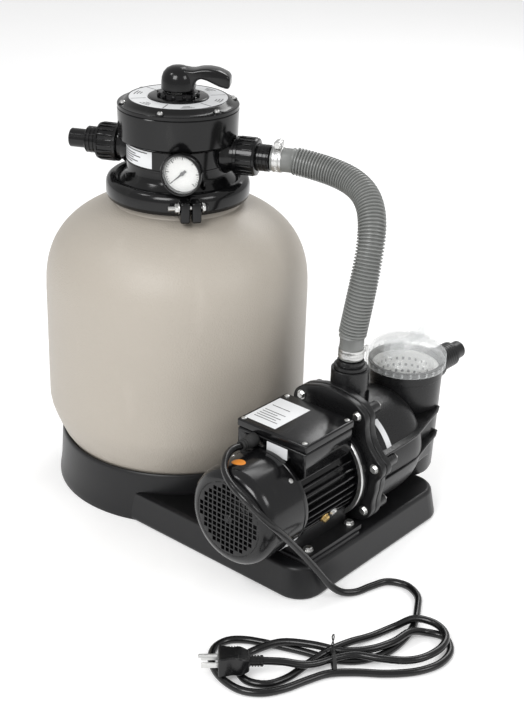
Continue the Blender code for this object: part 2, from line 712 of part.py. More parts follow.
def wet_end(finishes):
    axis = axis_at("motor_axis", (MOTOR_X, 0, MOTOR_Z), (-math.pi / 2, 0, 0))
    black = finishes["pump"]
    around = [(x, -up) for x, up in flange_points()]
    body_low = PLATE_Y[1] + GAP
    drum = [
        (0, body_low + 0.003), (VOLUTE_RADIUS - 0.0010, body_low + 0.003), (VOLUTE_RADIUS, 0.030),
        (VOLUTE_RADIUS, 0.055), (VOLUTE_RADIUS - 0.0020, 0.078), (VOLUTE_RADIUS - 0.0070, 0.095),
        (VOLUTE_RADIUS - 0.0185, 0.105), (VOLUTE_RADIUS - 0.0365, 0.110), (0, 0.112),
    ]
    body = turned("pump_body", drum, black, axis, steps=24)
    rim = outline("pump_rim", around, 0.005, None, axis, smooth=3)
    rim.matrix_world = axis_matrix(axis, (0, 0, body_low + 0.005))
    pot_axis = axis_at("pot_axis", (MOTOR_X, POT_Y, 0), (0, 0, 0))
    pot_low, pot_high = POT_Z
    wall = [(0, pot_low), (POT_FOOT_RADIUS - 0.006, pot_low), (POT_FOOT_RADIUS, pot_low + 0.008)]
    pot = turned("pot", [*wall, (POT_RADIUS, pot_high), (0, pot_high)], None, pot_axis, steps=24)
    low, high = CHANNEL_Z
    near, far = CHANNEL_HALF_X
    channel = outline("suction_channel", [(-near, 0.004), (near, 0.004), (far, POT_Y), (-far, POT_Y)],
                      (high - low) / 2, None, location=(MOTOR_X, 0, (low + high) / 2))
    near, far, end = near + RIB_REACH, far + RIB_REACH, POT_Y + 0.003
    webs = [outline(f"channel_rib_{i}", [(-near, 0.002), (near, 0.002), (far, end), (-far, end)], 0.0015, None,
                    location=(MOTOR_X, 0, z + 0.0015)) for i, z in enumerate(RIB_Z)]
    discharge = axis_at("discharge_axis", (MOTOR_X, DISCHARGE_Y, 0), (0, 0, 0))
    collar = disc("discharge_collar", COLLAR_RADIUS, 0.150, COLLAR_TOP_Z, None, discharge, steps=20)
    suction = axis_at("suction_axis", (MOTOR_X, 0, SUCTION_Z), (-math.pi / 2, 0, 0))
    spout = disc("suction_spout", 0.0205, POT_Y + 0.02, POT_Y + POT_RADIUS + 0.020, None, suction, steps=20)
    bosses = [rod(f"bolt_boss_{i}", (x, -up, body_low + 0.001), (x, -up, 0.022), 0.0075, None, axis, 10)
              for i, (x, up) in enumerate(bolt_places())]
    drain_boss = rod("drain_boss", (MOTOR_X - 0.030, POT_Y, 0.062), (MOTOR_X - 0.053, POT_Y, 0.062), 0.010,
                     None)
    join(body, rim, pot, channel, *webs, collar, spout, *bosses, drain_boss)
    case = disc("volute_hollow", 0.0520, -0.03, 0.0440, None, axis, steps=24)
    eye = disc("impeller_eye", 0.0160, 0.03, POT_Y - 0.02, None, axis, steps=16)
    well = turned("pot_hollow", [(0, pot_low + POT_WALL),
                                 (POT_FOOT_RADIUS - POT_WALL - 0.003, pot_low + POT_WALL),
                                 (POT_RADIUS - POT_WALL, pot_high + 0.01), (0, pot_high + 0.01)], None,
                                 pot_axis, steps=24)
    riser = disc("discharge_bore", COLLAR_BORE, 0.139, COLLAR_TOP_Z + 0.01, None, discharge, steps=20)
    inlet = disc("suction_bore", COLLAR_BORE + 0.0003, POT_Y + 0.012, POT_Y + 0.10, None, suction, steps=20)
    drain = rod("drain_bore", (MOTOR_X - 0.020, POT_Y, 0.062), (MOTOR_X - 0.070, POT_Y, 0.062), 0.0063,
                None, sides=12)
    flat = block("pump_floor", (MOTOR_X - 0.1, -0.05, 0.0), (MOTOR_X + 0.1, POT_Y + 0.1, POT_Z[0]), None)
    cut(body, case, eye, well, riser, inlet, drain, flat)

    plate = outline("seal_plate", around, (PLATE_Y[1] - PLATE_Y[0]) / 2, black, axis, smooth=3)
    plate.matrix_world = axis_matrix(axis, (0, 0, (PLATE_Y[0] + PLATE_Y[1]) / 2))
    cut(plate, disc("plate_bore", 0.0138, -0.05, 0.02, None, axis, steps=20), flat)
    ring("mechanical_seal", SHAFT_RADIUS + 0.0004, 0.0135, PLATE_Y[0] + 0.001, 0.0060, finishes["ceramic"],
         axis, steps=20)
    back = ring("impeller", SHAFT_RADIUS + GAP, 0.0460, 0.0075, 0.0105, finishes["inside"], axis, steps=16)
    front = ring("impeller_front", 0.0150, 0.0460, 0.0185, 0.0215, None, axis, steps=16)
    vanes = []
    for i in range(4):
        vane = block(f"impeller_vane_{i}", (0.012, -0.0015, 0.009), (0.0450, 0.0015, 0.020), None, axis)
        turn = 2 * math.pi * i / 4
        vane.location = Vector((0.0285 * math.cos(turn), 0.0285 * math.sin(turn), 0.0145))
        vane.rotation_euler.z = turn + 0.35
        vanes.append(vane)
    hub = ring("impeller_hub", SHAFT_RADIUS + 0.0006, 0.0135, 0.0090, 0.0180, None, axis, steps=16)
    join(back, front, hub, *vanes)

    hose_adapter(
        "discharge_adapter", (TAIL_RADIUS, COLLAR_TOP_Z - 0.022), black, discharge,
        COLLAR_TOP_Z - 0.002, HOSE_LOW_END_Z - 0.0020, HOSE_LOW_END_Z + 0.022,
    )
    reach = POT_Y + POT_RADIUS
    hose_adapter(
        "suction_adapter", (TAIL_RADIUS, reach + 0.002), black, suction, reach + 0.018, reach + 0.056,
        reach + 0.076
    )
    plug = rod("drain_plug", (MOTOR_X - 0.036, POT_Y, 0.062), (MOTOR_X - 0.0540, POT_Y, 0.062), 0.0060,
               black, sides=12)
    join(plug, rod("drain_head", (MOTOR_X - 0.0534, POT_Y, 0.062), (MOTOR_X - 0.0600, POT_Y, 0.062),
                   0.0085, None, sides=6))
    strainer(finishes, pot_axis)
    return axis


def axis_matrix(axis, offset):
    """World placement of a piece that sits at offset in an empty's own axes."""
    bpy.context.view_layer.update()
    place = axis.matrix_world.copy()
    place.translation = axis.matrix_world @ Vector(offset)
    return place


def bolt_places():
    right = [(0.0415, 0.0770), (0.0706, 0.0184), (0.0596, -0.0420)]
    return right + [(-x, up) for x, up in right]


def strainer(finishes, axis):
    low, high = STRAINER_LID_Z
    rim_z = POT_Z[1]
    ring("lid_oring", POT_RADIUS - 0.0035, POT_RADIUS - 0.0003, rim_z + GAP, rim_z + 0.0028,
         finishes["rubber"], axis)
    bore = POT_RADIUS + 0.0006
    profile = [
        (bore, low), (STRAINER_LID_RADIUS, low), (STRAINER_LID_RADIUS, high - 0.004),
        (STRAINER_LID_RADIUS - 0.003, high), (0.030, high + 0.002), (0.0, high + 0.0035),
        (0.0, high), (0.030, high - 0.002), (bore - 0.001, high - 0.005), (bore, high - 0.008),
    ]
    lid = turned("strainer_lid", profile, finishes["clear"], axis, steps=28)
    ears = []
    for side in (1, -1):
        ear = block(f"lid_ear_{side + 1}", (-0.0050, side * 0.0265 - 0.0165, high - 0.0005),
                    (0.0050, side * 0.0265 + 0.0165, high + 0.024), None, axis)
        ears.append(ear)
    join(lid, *ears)
    cup_low = POT_Z[0] + 0.018
    rim = rim_z - 0.004
    basket = [
        (0, cup_low), (BASKET_RADIUS - 0.006, cup_low), (BASKET_RADIUS, rim), (BASKET_RADIUS - 0.0020, rim),
        (BASKET_RADIUS - 0.008, cup_low + 0.002), (0, cup_low + 0.002),
    ]
    turned("strainer_basket", basket, finishes["white"], axis, steps=32)


def motor(finishes, axis):
    black = finishes["motor"]
    low, high = FRAME_Y
    teeth = []
    for i in range(FIN_COUNT):
        centre = 2 * math.pi * i / FIN_COUNT
        half = math.pi / FIN_COUNT
        for radius, shift in ((FIN_ROOT, -0.62), (FRAME_RADIUS, -0.36), (FRAME_RADIUS, 0.36),
                              (FIN_ROOT, 0.62)):
            angle = centre + shift * half
            teeth.append((radius * math.cos(angle), radius * math.sin(angle)))
    bore = [(FRAME_BORE * math.cos(a), FRAME_BORE * math.sin(a)) for a in
            (2 * math.pi * i / 24 for i in range(24))]
    frame = outline("motor_frame", teeth, (high - low) / 2, black, axis, holes=[bore])
    frame.matrix_world = axis_matrix(axis, (0, 0, (low + high) / 2))
    flange_low, flange_high = MOTOR_FLANGE_Y
    bell = [
        (BEARING_RADIUS + GAP, flange_low), (MOTOR_FLANGE_RADIUS, flange_low),
        (MOTOR_FLANGE_RADIUS, flange_high), (BEARING_RADIUS + GAP, flange_high),
    ]
    turned("motor_flange", bell, black, axis, steps=32)
    rear_high = low - GAP
    ring("rear_bell", BEARING_RADIUS + GAP, 0.0520, rear_high - 0.010, rear_high, black, axis, steps=32)
    for word, start in (("front", flange_low + 0.0005), ("rear", rear_high - 0.0095)):
        ring(f"bearing_{word}", SHAFT_RADIUS + GAP, BEARING_RADIUS, start, start + 0.009,
             finishes["steel"], axis, steps=24)
    ring("stator", 0.0320, FRAME_BORE - 0.0008, -0.1080, -0.0450, finishes["steel"], axis, steps=32)
    shaft = [
        (0, -0.1640), (SHAFT_RADIUS, -0.1640), (SHAFT_RADIUS, -0.1060), (0.0312, -0.1055),
        (0.0312, -0.0475),
        (SHAFT_RADIUS, -0.0470), (SHAFT_RADIUS, 0.0170), (0, 0.0170),
    ]
    turned("motor_shaft", shaft, finishes["steel"], axis, steps=24)
    fan = ring("cooling_fan", SHAFT_RADIUS + GAP, 0.0140, -0.1620, -0.1420, finishes["inside"], axis,
               steps=20)
    blades = []
    for i in range(6):
        blade = block(f"fan_blade_{i}", (0.012, -0.001, -0.1600), (0.0465, 0.001, -0.1446), None, axis)
        turn = 2 * math.pi * i / 6
        blade.location = Vector((0.02925 * math.cos(turn), 0.02925 * math.sin(turn), -0.1523))
        blade.rotation_euler.z = turn
        blades.append(blade)
    join(fan, ring("fan_web", 0.0130, 0.0480, -0.1455, -0.1435, None, axis, steps=20), *blades)
    fan_cover(finishes, axis)
    terminal_box(finishes, axis)
    foot = block(
        "foot_bracket", (MOTOR_X - 0.042, FOOT_BOLT_Y[0] - 0.012, PLATFORM_HEIGHT + PAD_HEIGHT + GAP),
        (MOTOR_X + 0.042, MOTOR_FLANGE_Y[0] - 0.0015, 0.0780), finishes["pump"],
    )
    sole = block(
        "foot_sole", (MOTOR_X - FOOT_SPREAD / 2 - 0.012, FOOT_BOLT_Y[0] - 0.012,
                      PLATFORM_HEIGHT + PAD_HEIGHT + GAP),
        (MOTOR_X + FOOT_SPREAD / 2 + 0.012, FOOT_BOLT_Y[1] + 0.008, 0.0505), None,
    )
    join(foot, sole)
    under_frame = disc("frame_clearance", FRAME_RADIUS + GAP, low - 0.02, high + 0.02, None, axis, steps=40)
    under_flange = disc("flange_clearance", MOTOR_FLANGE_RADIUS + GAP, flange_low - GAP, 0.0, None, axis,
                        steps=40)
    cut(foot, under_frame, under_flange)


def fan_cover(finishes, axis):
    face, back = FAN_COVER_Y
    wall = 0.0020
    profile = [
        (FAN_COVER_RADIUS, back), (FAN_COVER_RADIUS, face + 0.013),
        (FAN_COVER_RADIUS - 0.004, face + 0.005),
        (GRILLE_RADIUS + 0.001, face), (0, face), (0, face + wall), (GRILLE_RADIUS, face + wall),
        (FAN_COVER_RADIUS - 0.0055, face + 0.0065), (FAN_COVER_RADIUS - wall, face + 0.0135),
        (FAN_COVER_RADIUS - wall, back),
    ]
    cover = turned("fan_cover", profile, finishes["motor"], axis, steps=24)
    hole, bar = 0.0130, 0.0035
    pitch = hole + bar
    for i in range(-2, 3):
        half = math.sqrt(0.0400**2 - (abs(i) * pitch + hole / 2) ** 2)
        count = int((half + bar / 2) // pitch)
        slits = block(f"grille_row_{i + 2}", (-half, i * pitch - hole / 2, face - 0.01),
                      (half, i * pitch + hole / 2, face + 0.012), None, axis)
        bars = [block(f"grille_bar_{i + 2}_{k}",
                      (k * pitch + pitch / 2 - bar / 2, i * pitch - hole, face - 0.02),
                      (k * pitch + pitch / 2 + bar / 2, i * pitch + hole, face + 0.02), None, axis)
                for k in range(-count - 1, count + 1)]
        cut(slits, *bars)
        if i == 0:
            cut(slits, rod("grille_hub", (0, 0, face - 0.02), (0, 0, face + 0.02), 0.0080, None, axis))
        cut(cover, slits)


def terminal_box(finishes, axis):
    low, high = BOX_Z
    box = block("terminal_box", (MOTOR_X - BOX_X, BOX_Y[0], low), (MOTOR_X + BOX_X, BOX_Y[1], high),
                finishes["motor"])
    wall = 0.0030
    inside = block(
        "box_inside", (MOTOR_X - BOX_X + wall, BOX_Y[0] + wall, MOTOR_Z + FRAME_RADIUS + 0.004),
        (MOTOR_X + BOX_X - wall, BOX_Y[1] - wall, high + 0.01), None,
    )
    saddle = disc("box_saddle", FRAME_RADIUS + GAP, -0.2, 0.0, None, axis, steps=40)
    sides = block("box_under", (MOTOR_X - 0.07, -0.2, 0.10), (MOTOR_X + 0.07, 0.0, low + 0.001), None)
    entry = rod("gland_entry", (GLAND_X, BOX_Y[0] - 0.01, GLAND_Z), (GLAND_X, BOX_Y[0] + 0.01, GLAND_Z),
                0.0045, None, sides=12)
    cut(box, inside, saddle, sides, entry)
    lid = block(
        "terminal_lid", (MOTOR_X - BOX_X - 0.001, BOX_Y[0], high + GAP),
        (MOTOR_X + BOX_X + 0.001, BOX_Y[1] + 0.001, LID_TOP_Z), finishes["motor"],
    )
    soften = lid.modifiers.new("soften", "BEVEL")
    soften.width = 0.003
    soften.segments = 2
    roof = block(
        "lid_inside", (MOTOR_X - BOX_X + wall, BOX_Y[0] + wall, high - 0.01),
        (MOTOR_X + BOX_X - wall, BOX_Y[1] - wall, LID_TOP_Z - 0.0025), None,
    )
    cut(lid, roof)
    rod("capacitor", (MOTOR_X - 0.024, -0.060, 0.1782), (MOTOR_X + 0.024, -0.060, 0.1782), 0.0085,
        finishes["inside"], sides=20)
    gland = [
        (CORD_RADIUS + GAP, GLAND_END_Y), (0.0065, GLAND_END_Y), (0.0080, GLAND_END_Y + 0.012),
        (0.0080, BOX_Y[0] - GAP), (CORD_RADIUS + GAP, BOX_Y[0] - GAP),
    ]
    place = axis_at("gland_axis", (GLAND_X, 0, GLAND_Z), (-math.pi / 2, 0, 0))
    turned("cable_gland", gland, finishes["rubber"], place, steps=16)


def smooth_route(anchors, spacing):
    """Points about spacing apart on the centripetal curve through the anchors."""
    path = [2 * anchors[0] - anchors[1], *anchors, 2 * anchors[-1] - anchors[-2]]
    points = []
    for before, start, end, after in zip(path, path[1:], path[2:], path[3:]):
        steps = max(1, round((end - start).length / spacing))
        for i in range(steps):
            t = i / steps
            points.append(
                0.5 * (2 * start + (end - before) * t + (2 * before - 5 * start + 4 * end - after) * t * t
                       + (3 * start - before - 3 * end + after) * t**3)
            )
    return [*points, anchors[-1]]


def cord(finishes):
    lead = [
        (GLAND_X, GLAND_END_Y - GAP, GLAND_Z), (GLAND_X, -0.1590, 0.1758), (0.2420, -0.1745, 0.1745),
        (0.2550, -0.1925, 0.1690), (0.2760, -0.2045, 0.1640), (0.2960, -0.2065, 0.1560),
        (0.3110, -0.2025, 0.1440),
        (0.3215, -0.1920, 0.1275), (0.3270, -0.1750, 0.1080), (0.3300, -0.1570, 0.0860),
        (0.3340, -0.1400, 0.0640),
        (0.3395, -0.1250, 0.0420), (0.3455, -0.1110, 0.0210), (0.3540, -0.0985, 0.0080),
        (0.3640, -0.0830, 0.0045),
        (0.3700, -0.0620, 0.0045), (0.3788, -0.0408, 0.0045), (0.4000, -0.0320, 0.0045),
        (0.4212, -0.0408, 0.0045),
        (0.4340, -0.0590, 0.0045), (0.4430, -0.0735, 0.0045),
    ]
    route = smooth_route([Vector(p) for p in lead], 0.0165)
    tube("cord_lead", route, CORD_RADIUS, finishes["cord"], 2)
    lens = [
        (0.307, -0.262), (0.325, -0.232), (0.360, -0.214), (0.402, -0.192), (0.414, -0.150),
        (0.431, -0.103),
        (0.453, -0.080), (0.482, -0.074), (0.508, -0.088), (0.516, -0.116), (0.500, -0.155),
        (0.470, -0.184),
        (0.442, -0.212), (0.428, -0.252), (0.408, -0.292), (0.376, -0.311), (0.340, -0.304),
        (0.314, -0.284),
    ]
    hank = outline("cord_hank", lens, HANK_HEIGHT / 2, finishes["cord"], location=(0, 0, HANK_HEIGHT / 2),
                   smooth=3)
    place = axis_at("plug_axis", PLUG_TAIL, (0, 0, PLUG_ANGLE))
    pocket = block("plug_pocket", (-GAP, -0.0140, -0.0122), (0.12, 0.0140, 0.02), None, place)
    cut(hank, pocket)
    blades = [
        block("plug_blade_0", (0.0460, -0.0072, -0.0032), (0.0656, -0.0056, 0.0032), None, place),
        block("plug_blade_1", (0.0460, 0.0056, -0.0032), (0.0656, 0.0072, 0.0032), None, place),
        rod("plug_earth", (0.0460, 0, 0.0070), (0.0690, 0, 0.0070), 0.0024, None, place, 8),
    ]
    body = block("mains_plug", (0.0140, -0.0130, -0.0115), (0.0480, 0.0130, 0.0115), finishes["cord"],
                 place)
    relief = rod("plug_relief", (0, 0, 0), (0.020, 0, 0), 0.0062, None, place, 12)
    join(body, relief, *blades)


def main():
    start_scene()
    finishes = {
        "tank": material("tank_taupe", (0.42, 0.385, 0.34), 0.45),
        "base": material("base_charcoal", (0.035, 0.036, 0.038), 0.5),
        "black": material("valve_black", (0.012, 0.012, 0.013), 0.22),
        "pump": material("pump_charcoal", (0.028, 0.028, 0.028), 0.45),
        "motor": material("motor_black", (0.015, 0.015, 0.017), 0.3),
        "hose": material("hose_grey", (0.24, 0.25, 0.245), 0.45),
        "steel": material("plated_steel", (0.6, 0.6, 0.6), 0.3, 1.0),
        "rubber": material("rubber_black", (0.02, 0.02, 0.02), 0.7),
        "inside": material("inner_plastic", (0.55, 0.55, 0.52), 0.5),
        "white": material("white_plastic", (0.85, 0.85, 0.84), 0.4),
        "clear": material("clear_plastic", (0.9, 0.92, 0.92), 0.08, 0.0, 0.3),
        "ceramic": material("seal_ceramic", (0.75, 0.74, 0.7), 0.3),
        "cord": material("cord_black", (0.015, 0.015, 0.015), 0.35),
    }
    base(finishes)
    tank(finishes)
    clamp(finishes)
    ports = valve(finishes)
    gauge(finishes)
    port_fittings(finishes, ports)
    motor_axis = wet_end(finishes)
    motor(finishes, motor_axis)
    hose(finishes)
    cord(finishes)


main()
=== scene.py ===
import json
import math

import bpy
from mathutils import Matrix, Vector


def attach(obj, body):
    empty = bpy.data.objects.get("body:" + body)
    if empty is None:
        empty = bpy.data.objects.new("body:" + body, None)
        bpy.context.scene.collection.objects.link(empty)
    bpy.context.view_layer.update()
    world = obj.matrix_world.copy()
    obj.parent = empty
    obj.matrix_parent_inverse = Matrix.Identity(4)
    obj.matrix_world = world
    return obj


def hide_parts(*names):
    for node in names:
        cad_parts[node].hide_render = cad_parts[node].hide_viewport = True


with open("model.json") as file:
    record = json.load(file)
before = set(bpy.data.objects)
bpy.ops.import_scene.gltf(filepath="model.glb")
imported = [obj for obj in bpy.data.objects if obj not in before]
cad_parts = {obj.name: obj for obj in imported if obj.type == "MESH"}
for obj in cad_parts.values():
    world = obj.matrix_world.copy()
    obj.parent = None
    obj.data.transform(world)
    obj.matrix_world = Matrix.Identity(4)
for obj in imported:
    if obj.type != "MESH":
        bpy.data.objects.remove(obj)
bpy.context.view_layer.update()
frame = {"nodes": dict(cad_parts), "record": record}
print("frame loaded")


# places and turns; the pieces are given in millimetres and degrees, Blender and the lamps work in metres
def at(place):
    return Matrix.Translation(Vector(place) / 1000)


def spun(axis, degrees):
    return Matrix.Rotation(math.radians(degrees), 4, axis)


def around(degrees, radius):
    angle = math.radians(degrees)
    return Vector((radius * math.cos(angle), radius * math.sin(angle), 0))


def shown(name, data):
    obj = bpy.data.objects.new(name, data)
    bpy.context.scene.collection.objects.link(obj)
    return obj


# camera and lights
view = {"place": (1119.8, -1174.6, 921.1), "heading": 39.75, "down": 24.925, "roll": 1.837, "lens": 70.37}
camera = shown("camera", bpy.data.cameras.new("camera"))
camera.matrix_world = (at(view["place"]) @ spun("Z", view["heading"]) @ spun("X", 90 - view["down"])
                       @ spun("Z", view["roll"]))
camera.data.lens = view["lens"]
camera.data.sensor_width = 36
camera.data.clip_start = 0.05
bpy.context.scene.camera = camera
bpy.context.scene.view_settings.view_transform = "Standard"

studio = {
    "sky": ((1.0, 1.0, 1.0), 0.6),
    "lamps": [
        ("keyLamp", (0.7, -2.2, 1.9), 1.1, 40),
        ("sideLamp", (2.3, 0.2, 1.7), 0.8, 13),
        ("backLamp", (-0.4, 2.0, 2.2), 1.4, 26),
        ("frontStrip", (-0.8, -1.6, 2.4), 0.5, 8),
    ],
}
world = bpy.data.worlds.new("softSky")
world.use_nodes = True
world.node_tree.nodes["Background"].inputs["Color"].default_value = (*studio["sky"][0], 1)
world.node_tree.nodes["Background"].inputs["Strength"].default_value = studio["sky"][1]
bpy.context.scene.world = world
for lampName, lampPlace, lampSize, lampPower in studio["lamps"]:
    lamp = bpy.data.lights.new(lampName, "AREA")
    lamp.energy, lamp.size = lampPower, lampSize
    holder = shown(lampName, lamp)
    holder.location = lampPlace
    holder.rotation_mode = "QUATERNION"
    holder.rotation_quaternion = (Vector((0.12, 0, 0.2)) - Vector(lampPlace)).to_track_quat("-Z", "Y")


# shader writing
class Wire:
    # a socket that takes part in sums
    def __init__(self, shop, socket):
        self.shop, self.socket = shop, socket

    def sum(self, operation, first, second):
        return self.shop.node("ShaderNodeMath", {"operation": operation}, {0: first, 1: second})

    def __add__(self, other):
        return self.sum("ADD", self, other)

    def __sub__(self, other):
        return self.sum("SUBTRACT", self, other)

    def __rsub__(self, other):
        return self.sum("SUBTRACT", other, self)

    def __mul__(self, other):
        return self.sum("MULTIPLY", self, other)

    __radd__, __rmul__ = __add__, __mul__


class Finish:
    # one material, with its own constants on the shader
    def __init__(self, name, constants):
        self.material = bpy.data.materials.new(name)
        self.material.use_nodes = True
        self.nodes = self.material.node_tree.nodes
        self.links = self.material.node_tree.links
        self.shader = self.nodes["Principled BSDF"]
        for socket, value in constants.items():
            self.shader.inputs[socket].default_value = value

    def node(self, kind, settings, inputs, output=0):
        made = self.nodes.new(kind)
        for key, value in settings.items():
            if key == "stops":
                for element, (spot, shade) in zip(made.color_ramp.elements, value):
                    element.position, element.color = spot, shade
            else:
                setattr(made, key, value)
        for key, value in inputs.items():
            if isinstance(value, Wire):
                self.links.new(value.socket, made.inputs[key])
            else:
                made.inputs[key].default_value = value
        return Wire(self, made.outputs[output])

    def place(self, stretch=(1, 1, 1)):
        spot = self.node("ShaderNodeTexCoord", {}, {}, "Object")
        return self.node("ShaderNodeMapping", {}, {"Vector": spot, "Scale": stretch})

    def noise(self, scale, detail=3.0, stretch=(1, 1, 1)):
        return self.node("ShaderNodeTexNoise", {},
                         {"Vector": self.place(stretch), "Scale": scale, "Detail": detail})

    def step(self, value, low, high):
        black, white = (0, 0, 0, 1), (1, 1, 1, 1)
        return self.node("ShaderNodeValToRGB", {"stops": [(low, black), (high, white)]}, {"Fac": value})

    def blend(self, factor, first, second):
        return self.node("ShaderNodeMix", {"data_type": "RGBA"}, {0: factor, 6: first, 7: second}, 2)

    def bump(self, height, strength, depth):
        return self.node("ShaderNodeBump", {}, {"Height": height, "Strength": strength, "Distance": depth})

    def feed(self, socket, value):
        self.links.new(value.socket, self.shader.inputs[socket])


def shade(color, factor):
    return (*[min(1.0, channel * factor) for channel in color], 1.0)


def moulded(name, look):
    # plastic or paint: a fine grain, slow mottling, a little dust and rub marks
    finish = Finish(name, {"Specular IOR Level": look.get("shine", 0.5), **look.get("fixed", {})})
    mottle = finish.noise(look.get("mottleScale", 9), 4)
    grain = finish.noise(look["grainScale"], 2)
    rub = finish.step(finish.noise(look.get("rubScale", 60), 6, (1, 1, 0.35)), 0.6, 0.74)
    spread = look.get("spread", 0.12)
    tone = finish.blend(mottle, shade(look["color"], 1 - spread), shade(look["color"], 1 + spread))
    tone = finish.blend(rub * look.get("rub", 0.12), tone, (*look.get("rubColor", (0.3, 0.3, 0.29)), 1.0))
    finish.feed("Base Color", tone)
    finish.feed("Roughness", mottle * 0.14 + grain * look.get("grainRough",
        0.1) + rub * 0.08 + look["roughness"])
    finish.feed("Normal", finish.bump(grain, look["bump"], look.get("depth", 0.0004)))
    return finish.material


def metal(name, look):
    # plated or machined metal with brushed streaks and small spots of tarnish
    finish = Finish(name, {"Metallic": 1.0})
    streak = finish.noise(look["streak"], 2, look.get("along", (1, 1, 12)))
    spots = finish.step(finish.noise(240, 5), 0.56, 0.72)
    finish.feed("Base Color", finish.blend(spots * 0.4, shade(look["color"], 1), shade(look["color"], 0.6)))
    finish.feed("Roughness", streak * 0.22 + spots * 0.15 + look["roughness"])
    finish.feed("Normal", finish.bump(streak, 0.12, 0.0002))
    return finish.material


def clearPlastic(name, look):
    finish = Finish(name, {"IOR": 1.46, "Coat Weight": 0.6, "Coat Roughness": 0.04})
    haze = finish.noise(38, 4)
    scratch = finish.step(finish.noise(150, 3, (1, 9, 1)), 0.62, 0.7)
    finish.feed("Base Color", finish.blend(haze, shade(look["color"], 0.94), shade(look["color"], 1.0)))
    finish.feed("Roughness", haze * 0.08 + scratch * 0.18 + look["roughness"])
    finish.feed("Alpha", haze * 0.12 + scratch * 0.06 + look["alpha"])
    finish.feed("Normal", finish.bump(haze, 0.08, 0.0006))
    return finish.material


mats = {
    "tank": moulded("tankTaupe", {
        "color": (0.405, 0.368, 0.318), "spread": 0.05, "roughness": 0.32, "grainScale": 520, "bump": 0.8,
        "depth": 0.0006, "rub": 0.1, "rubColor": (0.62, 0.58, 0.52), "rubScale": 26, "mottleScale": 5,
    }),
    "base": moulded("baseCharcoal", {
        "color": (0.009, 0.009, 0.0098), "roughness": 0.24, "grainScale": 800, "bump": 0.14, "depth": 0.0003,
        "rub": 0.08, "rubColor": (0.05, 0.05, 0.05), "rubScale": 34, "shine": 0.36,
    }),
    "valve": moulded("valveBlack", {
        "color": (0.004, 0.004, 0.0043), "roughness": 0.06, "grainScale": 260, "grainRough": 0.04,
        "bump": 0.05,
        "depth": 0.0003, "rub": 0.03, "shine": 0.34,
    }),
    "pump": moulded("pumpCharcoal", {
        "color": (0.0085, 0.0085, 0.009), "roughness": 0.17, "grainScale": 900, "bump": 0.1, "rub": 0.08,
        "rubColor": (0.07, 0.07, 0.069), "shine": 0.36,
    }),
    "motor": moulded("motorBlackPaint", {
        "color": (0.005, 0.005, 0.0055), "roughness": 0.07, "grainScale": 300, "grainRough": 0.05,
        "bump": 0.04,
        "rub": 0.05, "rubColor": (0.08, 0.08, 0.08), "shine": 0.4,
    }),
    "hose": moulded("hoseGrey", {
        "color": (0.19, 0.195, 0.188), "spread": 0.1, "roughness": 0.22, "grainScale": 500, "bump": 0.12,
        "rub": 0.15, "rubColor": (0.4, 0.4, 0.385),
    }),
    "rubber": moulded("gasketRubber", {
        "color": (0.014, 0.014, 0.014), "roughness": 0.55, "grainScale": 1500, "bump": 0.3, "rub": 0.2,
        "rubColor": (0.08, 0.08, 0.075),
    }),
    "cord": moulded("cordBlack", {
        "color": (0.0045, 0.0045, 0.0048), "roughness": 0.1, "grainScale": 700, "bump": 0.05, "rub": 0.08,
        "rubColor": (0.05, 0.05, 0.05), "rubScale": 120, "shine": 0.42,
    }),
    "inner": moulded("innerGreyPlastic", {
        "color": (0.5, 0.5, 0.47), "roughness": 0.36, "grainScale": 800, "bump": 0.2,
    }),
    "white": moulded("basketWhite", {
        "color": (0.8, 0.8, 0.78), "spread": 0.04, "roughness": 0.3, "grainScale": 700, "bump": 0.15,
        "rub": 0.1,
        "rubColor": (0.62, 0.6, 0.54),
    }),
    "label": moulded("plainLabel", {
        "color": (0.72, 0.73, 0.74), "spread": 0.04, "roughness": 0.22, "grainScale": 1300, "bump": 0.08,
        "rub": 0.2,
        "rubColor": (0.55, 0.55, 0.55),
    }),
    "fan": moulded("fanGrey", {
        "color": (0.03, 0.03, 0.03), "roughness": 0.4, "grainScale": 800, "bump": 0.1,
    }),
    "ink": moulded("labelInk", {
        "color": (0.02, 0.02, 0.022), "roughness": 0.3, "grainScale": 900, "bump": 0.05,
    }),
    "orange": moulded("orangeSticker", {
        "color": (0.72, 0.24, 0.02), "spread": 0.08, "roughness": 0.28, "grainScale": 900, "bump": 0.08,
    }),
    "steel": metal("zincSteel", {"color": (0.63, 0.63, 0.62), "roughness": 0.22, "streak": 160}),
    "brass": metal("brass", {"color": (0.72, 0.52, 0.22), "roughness": 0.24, "streak": 200}),
    "iron": metal("darkIron", {"color": (0.22, 0.22, 0.22), "roughness": 0.4, "streak": 220}),
    "clear": clearPlastic("clearLid", {"color": (0.93, 0.95, 0.95), "roughness": 0.06, "alpha": 0.17}),
    "lens": clearPlastic("gaugeGlass", {"color": (0.95, 0.97, 0.97), "roughness": 0.03, "alpha": 0.02}),
    "ceramic": moulded("sealCeramic", {
        "color": (0.7, 0.69, 0.64), "roughness": 0.2, "grainScale": 900, "bump": 0.05,
    }),
    "floor": moulded("paleFloor", {
        "color": (0.9, 0.9, 0.9), "spread": 0.01, "roughness": 0.5, "grainScale": 60, "bump": 0.02,
        "rub": 0.0,
        "fixed": {"Emission Color": (1.0, 1.0, 1.0, 1.0), "Emission Strength": 0.22},
    }),
}
slotOf = {
    "tank": "tank_plastic", "base": "base_plastic", "valve": "valve_plastic", "pump": "pump_plastic",
    "motor": "motor_black", "hose": "hose_plastic", "rubber": "rubber", "cord": "cord_rubber",
    "fan": "inner_plastic", "lens": "clear_plastic", "inner": "inner_plastic", "white": "white_plastic",
    "steel": "plated_steel", "iron": "iron",
    "clear": "clear_plastic", "ceramic": "seal_ceramic",
}
bySlot = {slotName: mats[key] for key, slotName in slotOf.items()}
